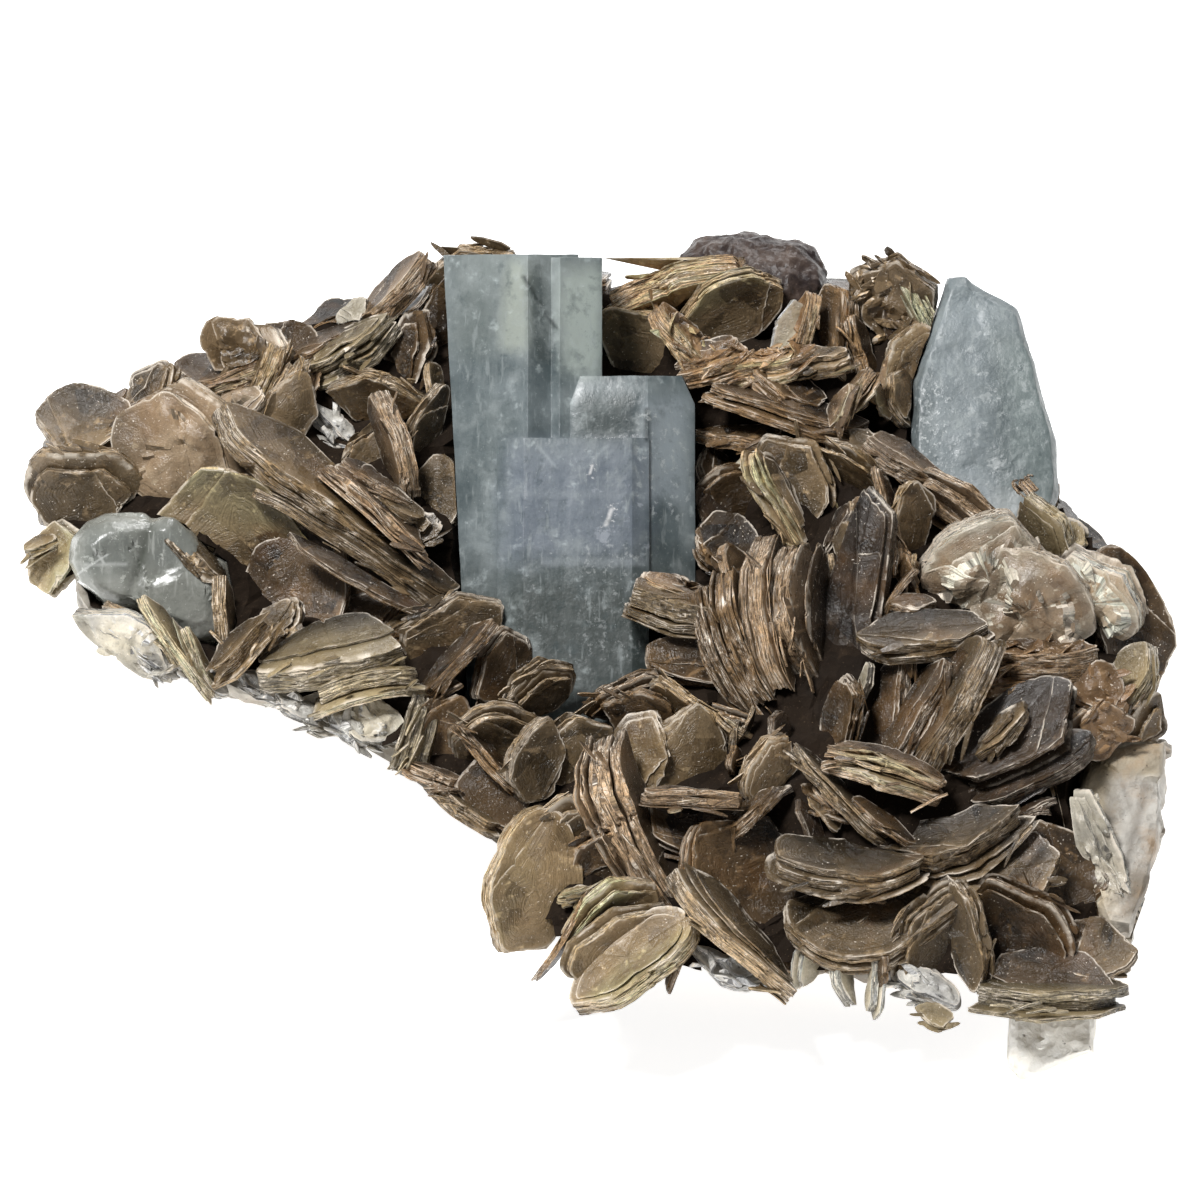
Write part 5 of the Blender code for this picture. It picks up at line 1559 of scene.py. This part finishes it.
@dataclass(frozen=True)
class Crust:
    """The crust of small mica that coats the rock and holds the feet of the books, in millimetres."""

    books: Sequence[Book]
    grid: tuple[int, int] = (110, 74)
    half: tuple[float, float] = (58.0, 39.0)  # half the size of the sheet that it is cut from
    lower: float = 2.0  # how far below the display face's centre that sheet lies
    sway: float = 1.6  # how far its points are moved sideways, so that no rows of them show
    floor: float = -6.2  # its underside
    grip: float = 1.3  # how far up it covers the books' feet
    softness: float = 2.0  # how widely one height blends into the next, in square millimetres
    hollow_pull: float = 2.0  # how much more a hollow counts than a book
    sunk: float = 0.5  # how far its top lies below its level
    flaky: float = 0.7  # how rough its top is
    shaded: tuple[str, str] = ("#1b140e", "#3b2f24")  # its colours, that of the faces and of the edges: painted shade, near black so that it reads as the dark depths between the books
    seed: int = 7  # of the sway, which would otherwise change with the clock

    def weight(self, across: float, up: float, pull: float = 1.0) -> float:
        """How much a thing at that distance counts in the crust's level."""
        return pull / (across**2 + up**2 + self.softness) ** 2

    def level(self, across: float, up: float) -> float:
        """How high the crust stands: it rises to hold the books' feet, and dips in the hollows."""
        total = weights = 0.0
        for hollow_across, hollow_up, height in HOLLOWS:
            weight = self.weight(across - hollow_across, up - hollow_up, self.hollow_pull)
            total += weight * height
            weights += weight
        for book in self.books:
            weight = self.weight(across - book.across, up - book.up)
            total += weight * (book.out - book.reach() + self.grip)
            weights += weight
        return total / weights

    def flakes(self, count: int, seed: int) -> list[Book]:
        """That many small blades on it."""
        chance = random.Random(seed)
        found: list[Book] = []
        while len(found) < count:
            flake = Flakes().on(self, chance)
            if flake:
                found.append(flake)
        return found

    def sheet(self) -> tuple[bmesh.types.BMesh, set[bmesh.types.BMVert]]:
        """Two flat layers joined at the crust's edge, in millimetres, and the points of the upper one."""
        bm = bmesh.new()
        noise.seed_set(self.seed)
        bmesh.ops.create_grid(bm, x_segments=self.grid[0], y_segments=self.grid[1], size=1)
        for vert in bm.verts:
            across, up = vert.co.x * self.half[0], vert.co.y * self.half[1] - self.lower
            sway = noise.noise_vector(Vector((across / 4, up / 4, 7))) * self.sway
            vert.co = (across + sway.x, up + sway.y, 0)
        outside = [face for face in bm.faces if not inside_crust(*face.calc_center_median().xy)]
        bmesh.ops.delete(bm, geom=outside, context="FACES")
        upper = bmesh.ops.extrude_face_region(bm, geom=bm.faces[:])["geom"]
        return bm, {vert for vert in upper if isinstance(vert, bmesh.types.BMVert)}

    def build(self, clear_of: ClearOf, material: bpy.types.Material) -> bpy.types.Object:
        """Builds the crust as a closed sheet with a rough, flaky top."""
        bm, crest = self.sheet()
        for vert in bm.verts:
            across, up, _ = vert.co
            if vert in crest:
                flaky = uneven(across / 1.4, up / 1.1, 3) + uneven(across / 3, up / 3, 9)
                out = self.level(across, up) - self.sunk + self.flaky * flaky
            else:
                out = self.floor + 0.5 * uneven(across / 3, up / 3, 5)
            vert.co = FACE.on_crust(across, up, out)
        bmesh.ops.recalc_face_normals(bm, faces=bm.faces)
        clear_of.move_under(bm)
        grain = bm.verts.layers.float_vector.new("grain")
        face_tone_and_shade = bm.verts.layers.float_color.new("face_tone_and_shade")
        edge_tone_and_shade = bm.verts.layers.float_color.new("edge_tone_and_shade")
        wall = bm.faces.layers.float.new("wall")
        for vert in bm.verts:
            vert[grain] = Vector((0, 0, 9)) * MM  # far in from any rim
            # painted shade: the crust's near-black colours
            vert[face_tone_and_shade], vert[edge_tone_and_shade] = (linear(code) for code in self.shaded)
        for face in bm.faces:
            face[wall] = 0.0
        return piece_from("mica_crust", bm, material, "mica", "muscovite")


# --- crystals and rock ----------------------------------------------------------------------------


@dataclass(frozen=True)
class Crystal:
    """A crystal made from its CAD node: edges eased, faces split and given their growth relief."""

    node: str
    name: str
    slot: str
    finish: BerylFinish | QuartzFinish | AlbiteFinish
    ease: float  # how far its edges are rounded, in millimetres
    grain: float  # the longest edge that its relief is drawn on, in millimetres
    relief: Callable[[Vector], float]
    sharp: float = 28.0  # the angle, in degrees, from which an edge stays crisp

    def build(self) -> bpy.types.Object:
        """Builds the crystal."""
        bm = copy_of(self.node)
        if self.ease:
            edges = [edge for edge in bm.edges if edge.calc_face_angle(0.0) > math.radians(12)]
            bmesh.ops.bevel(
                bm,
                geom=edges,
                offset=self.ease * MM,
                affect="EDGES",
                segments=2,
                profile=0.5,
                material=-1,
                clamp_overlap=True,
            )
        split_to(bm, self.grain)
        push(bm, self.relief)
        shade(bm, self.sharp)
        return piece_from(self.name, bm, self.finish.material(), self.slot, self.node)


def facets(place: Vector, size: float, slope: float) -> float:
    """Flat facets that lean at odd angles.

    Args:
        place: where, in millimetres.
        size: how broad a facet is, in millimetres.
        slope: how steeply it may lean.

    Returns:
        The height there in millimetres.
    """
    spot = place / size
    distances, centres = noise.voronoi(spot)
    near, far = distances[:2]
    leans = [2 * noise.cell_vector(37 * centre) - Vector((1, 1, 1)) for centre in centres[:2]]
    first, second = ((spot - centre).dot(lean) for centre, lean in zip(centres, leans))
    return slope * size * (first + (second - first) * 0.5 * (1 - smooth(0.0, 0.3, far - near)))


def prism_relief(place: Vector) -> float:
    """The fine steps and grooves that run up the faces of a beryl prism, in millimetres."""
    across, up, out = FACE.read(place * MM)
    step = uneven(across / 1.1, up / 30, out / 1.6)
    dent = noise.noise(place / 3.5)
    return 0.06 * step + 0.05 * dent


def frosted_relief(place: Vector) -> float:
    """The hummocks of a beryl face that acid fluids have etched, in millimetres."""
    hummock = noise.noise(place / 4.5)
    ridge = 1 - 2 * abs(noise.noise(place / 2.2))
    return 0.1 * hummock + 0.03 * ridge + facets(place, 4.2, 0.05) + facets(place, 1.3, 0.06) - 0.1


def stubby_relief(place: Vector) -> float:
    """The blunt facets of a short crystal, and the seam up the left one, in millimetres."""
    across, up, _ = FACE.read(place * MM)
    seam = math.exp(-(((across + 46.2 - 0.25 * (up - 2)) / 0.7) ** 2))
    return facets(place, 5.0, 0.17) + 0.03 * noise.noise(place / 1.6) - 0.4 * seam - 0.15


def pitted_relief(place: Vector) -> float:
    """The lumps and pits of corroded quartz, in millimetres."""
    near = noise.voronoi(place / 2.6)[0][0]
    return 0.5 * noise.noise(place / 3.2) + 0.6 * (0.5 - near) + 0.25 * noise.noise(place / 0.9)


def cleaved_relief(place: Vector) -> float:
    """The small steps of broken feldspar, in millimetres."""
    return facets(place, 6.0, 0.2) + facets(place, 1.7, 0.1) + 0.06 * noise.noise(place / 0.9)


def broken_relief(place: Vector) -> float:
    """The large broken faces of the rock, in millimetres, which die away at the cut base."""
    height = facets(place, 9, 0.22) + facets(place, 3.4, 0.2) + 0.8 * noise.noise(place / 8) - 0.4
    return height * smooth(0.05, 1.2, place.z)


@dataclass(frozen=True)
class MatrixRock:
    """The wedge of feldspar under the crust, broken all round and cut flat below."""

    node: str = "albite_matrix"
    grain: float = 1.7  # the longest edge that its relief is drawn on, in millimetres
    sharp: float = 40.0

    def build(self) -> bpy.types.Object:
        """Builds the rock from its CAD node; the cut base stays flat."""
        bm = copy_of(self.node)
        split_to(bm, self.grain)
        push(bm, broken_relief)
        for vert in bm.verts:
            vert.co.z = max(vert.co.z, 0.0)
        shade(bm, self.sharp)
        finish = AlbiteFinish("broken albite", white="#c0b9ac", grey="#7c756a", stain="#86694a", stained=0.6)
        return piece_from("matrix_rock", bm, finish.material(), "feldspar", self.node)


# --- studio ---------------------------------------------------------------------------------------


@dataclass(frozen=True)
class Studio:
    """A plain pale floor, soft light from above and behind, and the camera. Lengths are in metres."""

    target: Vector = field(default_factory=lambda: FACE.centre * MM)
    elevation: float = math.radians(40)
    distance: float = 2.0
    lens_mm: float = 600.0
    sensor_mm: float = 36.0
    half_floor: float = 3.0
    air: float = 0.19  # how strong the light from all round is

    def floor(self) -> None:
        """A wide pale sheet under the specimen."""
        bm = bmesh.new()
        bmesh.ops.create_grid(bm, x_segments=2, y_segments=2, size=self.half_floor)
        mesh = bpy.data.meshes.new("floor")
        bm.to_mesh(mesh)
        bm.free()
        pale = Finish("pale studio floor").wear(
            Base_Color=linear("#f6f6f5"),
            Roughness=0.9,
            Emission_Color=linear("#ffffff"),
            Emission_Strength=0.84,
        )
        mesh.materials.append(pale)
        floor = bpy.data.objects.new("floor", mesh)
        bpy.context.scene.collection.objects.link(floor)

    def light(self, name: str, spot: Vector, size: float, watts: float) -> None:
        """A square soft light that faces the specimen."""
        lamp = bpy.data.lights.new(name, "AREA")
        lamp.size, lamp.energy = size, watts
        thing = bpy.data.objects.new(name, lamp)
        thing.location = spot
        thing.rotation_euler = (spot - self.target).to_track_quat("Z", "Y").to_euler()
        bpy.context.scene.collection.objects.link(thing)

    def camera(self) -> None:
        """The long lens that looks down on the display face."""
        lens = bpy.data.cameras.new("camera")
        lens.lens, lens.sensor_width, lens.clip_end = self.lens_mm, self.sensor_mm, 20.0
        camera = bpy.data.objects.new("camera", lens)
        back = Vector((0, -math.cos(self.elevation), math.sin(self.elevation)))
        camera.location = self.target + back * self.distance
        camera.rotation_euler = back.to_track_quat("Z", "Y").to_euler()
        bpy.context.scene.collection.objects.link(camera)
        bpy.context.scene.camera = camera

    def build(self) -> None:
        """Sets the whole studio up."""
        self.floor()
        self.camera()
        self.light("overhead light", Vector((-0.34, -0.10, 0.88)), size=0.22, watts=10.5)
        self.light("back light", Vector((0.15, 0.70, 0.55)), size=0.4, watts=4.0)
        world = bpy.data.worlds.new("studio air")
        world.use_nodes = True
        sky = world.node_tree.nodes["Background"]
        sky.inputs["Color"].default_value = linear("#ffffff")
        sky.inputs["Strength"].default_value = self.air
        bpy.context.scene.world = world
        bpy.context.scene.view_settings.view_transform = "Standard"


# --- the specimen ---------------------------------------------------------------------------------

# The bright of each spray is painted light and shade in its colours: lower for those that lie deep, higher
# for the open ones.
SPRAYS = (
    MicaSpray("mica_left_end", LEFT_END, seed=40, bright=1.15),
    MicaSpray("mica_long_spray", LONG_SPRAY, seed=41, bright=0.78),
    MicaSpray("mica_lower_left", LOWER_LEFT + CRYSTAL_FOOT, seed=42, bright=0.9),
    MicaSpray("mica_lower_lobes", LOWER_LOBES, seed=43, bright=1.25),
    MicaSpray("mica_front_rosette", FRONT_ROSETTE, seed=44, bright=0.88),
    MicaSpray("mica_right_rosette", RIGHT_ROSETTE, seed=45, bright=0.8),
    MicaSpray("mica_right_edge", RIGHT_EDGE, seed=46),
    MicaSpray("mica_top", TOP, seed=47, bright=1.35),
    MicaSpray("mica_in_between", IN_BETWEEN, seed=48, companions=1),
)
BACK_SPRAY = MicaSpray("mica_back_edge", BACK_EDGE, seed=49, companions=1)

CRYSTALS = (
    Crystal(
        node="aquamarine_main",
        name="main_crystal",
        slot="aquamarine",
        finish=BerylFinish("aquamarine", tint="#929da0", deep="#5f6c6f", milky="#bfc8c8", zones=MAIN_ZONES),
        ease=0.12,
        grain=1.3,
        relief=prism_relief,
    ),
    Crystal(
        node="aquamarine_right",
        name="right_crystal",
        slot="aquamarine",
        finish=BerylFinish(
            "frosted aquamarine",
            tint="#737c7e",
            deep="#535e61",
            milky="#a2aaa9",
            clear=0.3,
            frost=0.42,
            pitted=0.12,
            gloss=0.08,
            zones=RIGHT_ZONES,
        ),
        ease=0.25,
        grain=0.65,
        relief=frosted_relief,
        sharp=50,
    ),
    Crystal(
        node="aquamarine_left",
        name="left_crystal",
        slot="aquamarine",
        finish=BerylFinish(
            "grey aquamarine",
            tint="#b4b6ae",
            deep="#84867e",
            milky="#e2e4dd",
            clear=0.42,
            frost=0.22,
            pitted=0.1,
            absorbs="#cfcfc4",
            gloss=0.3,
            zones=LEFT_ZONES,
        ),
        ease=0.3,
        grain=0.55,
        relief=stubby_relief,
        sharp=30,
    ),
    Crystal(
        node="quartz_knob",
        name="knob",
        slot="quartz",
        finish=QuartzFinish(),
        ease=0.0,
        grain=0.45,
        relief=pitted_relief,
        sharp=60,
    ),
    Crystal(
        node="albite_block",
        name="block",
        slot="feldspar",
        finish=AlbiteFinish(
            "albite block", white="#cfc9be", grey="#80776b", stain="#94703f", stained=0.6, zones=BLOCK_ZONES
        ),
        ease=0.3,
        grain=0.6,
        relief=cleaved_relief,
        sharp=35,
    ),
    Crystal(
        node="albite_tip",
        name="tip",
        slot="clear_albite",
        finish=AlbiteFinish(
            "clear albite", white="#fffdf7", grey="#e9e3d6", stain="#d0bd98", stained=0.35, clear=0.05
        ),
        ease=0.2,
        grain=0.7,
        relief=stubby_relief,
        sharp=30,
    ),
)


def build_mica() -> None:
    """Builds the sprays of books, the crust they stand on and the small flakes on it."""
    clear_of = ClearOf([crystal.node for crystal in CRYSTALS])
    named = [book for spray in (*SPRAYS, BACK_SPRAY) for book in spray.books]
    mica = MicaFinish().material()
    for spray in (*SPRAYS, BACK_SPRAY):
        spray.build(clear_of, named, mica)
    crust = Crust([book for spray in SPRAYS for book in spray.books])
    dull = MicaFinish("mica crust", painted_glint="#5a4c3d", rust="#33271c", rough=(0.75, 0.95), shine=0.1)
    crust.build(clear_of, dull.material())
    flakes = crust.flakes(1350, seed=11)
    flakes = [flake for flake in flakes if not (clear_of.holds(flake) or crosses(flake, named))]
    small = MicaSpray("mica_crust_flakes", flakes, seed=12, companions=0, splinters=0)
    small.build(clear_of, named, mica)


def main() -> None:
    """Builds the specimen piece by piece, then the studio."""
    logging.basicConfig(level=logging.INFO, stream=sys.stdout, format="%(message)s")
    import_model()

    build_mica()
    for crystal in CRYSTALS:
        crystal.build()
    MatrixRock().build()
    Studio().build()


if __name__ == "__main__":
    main()
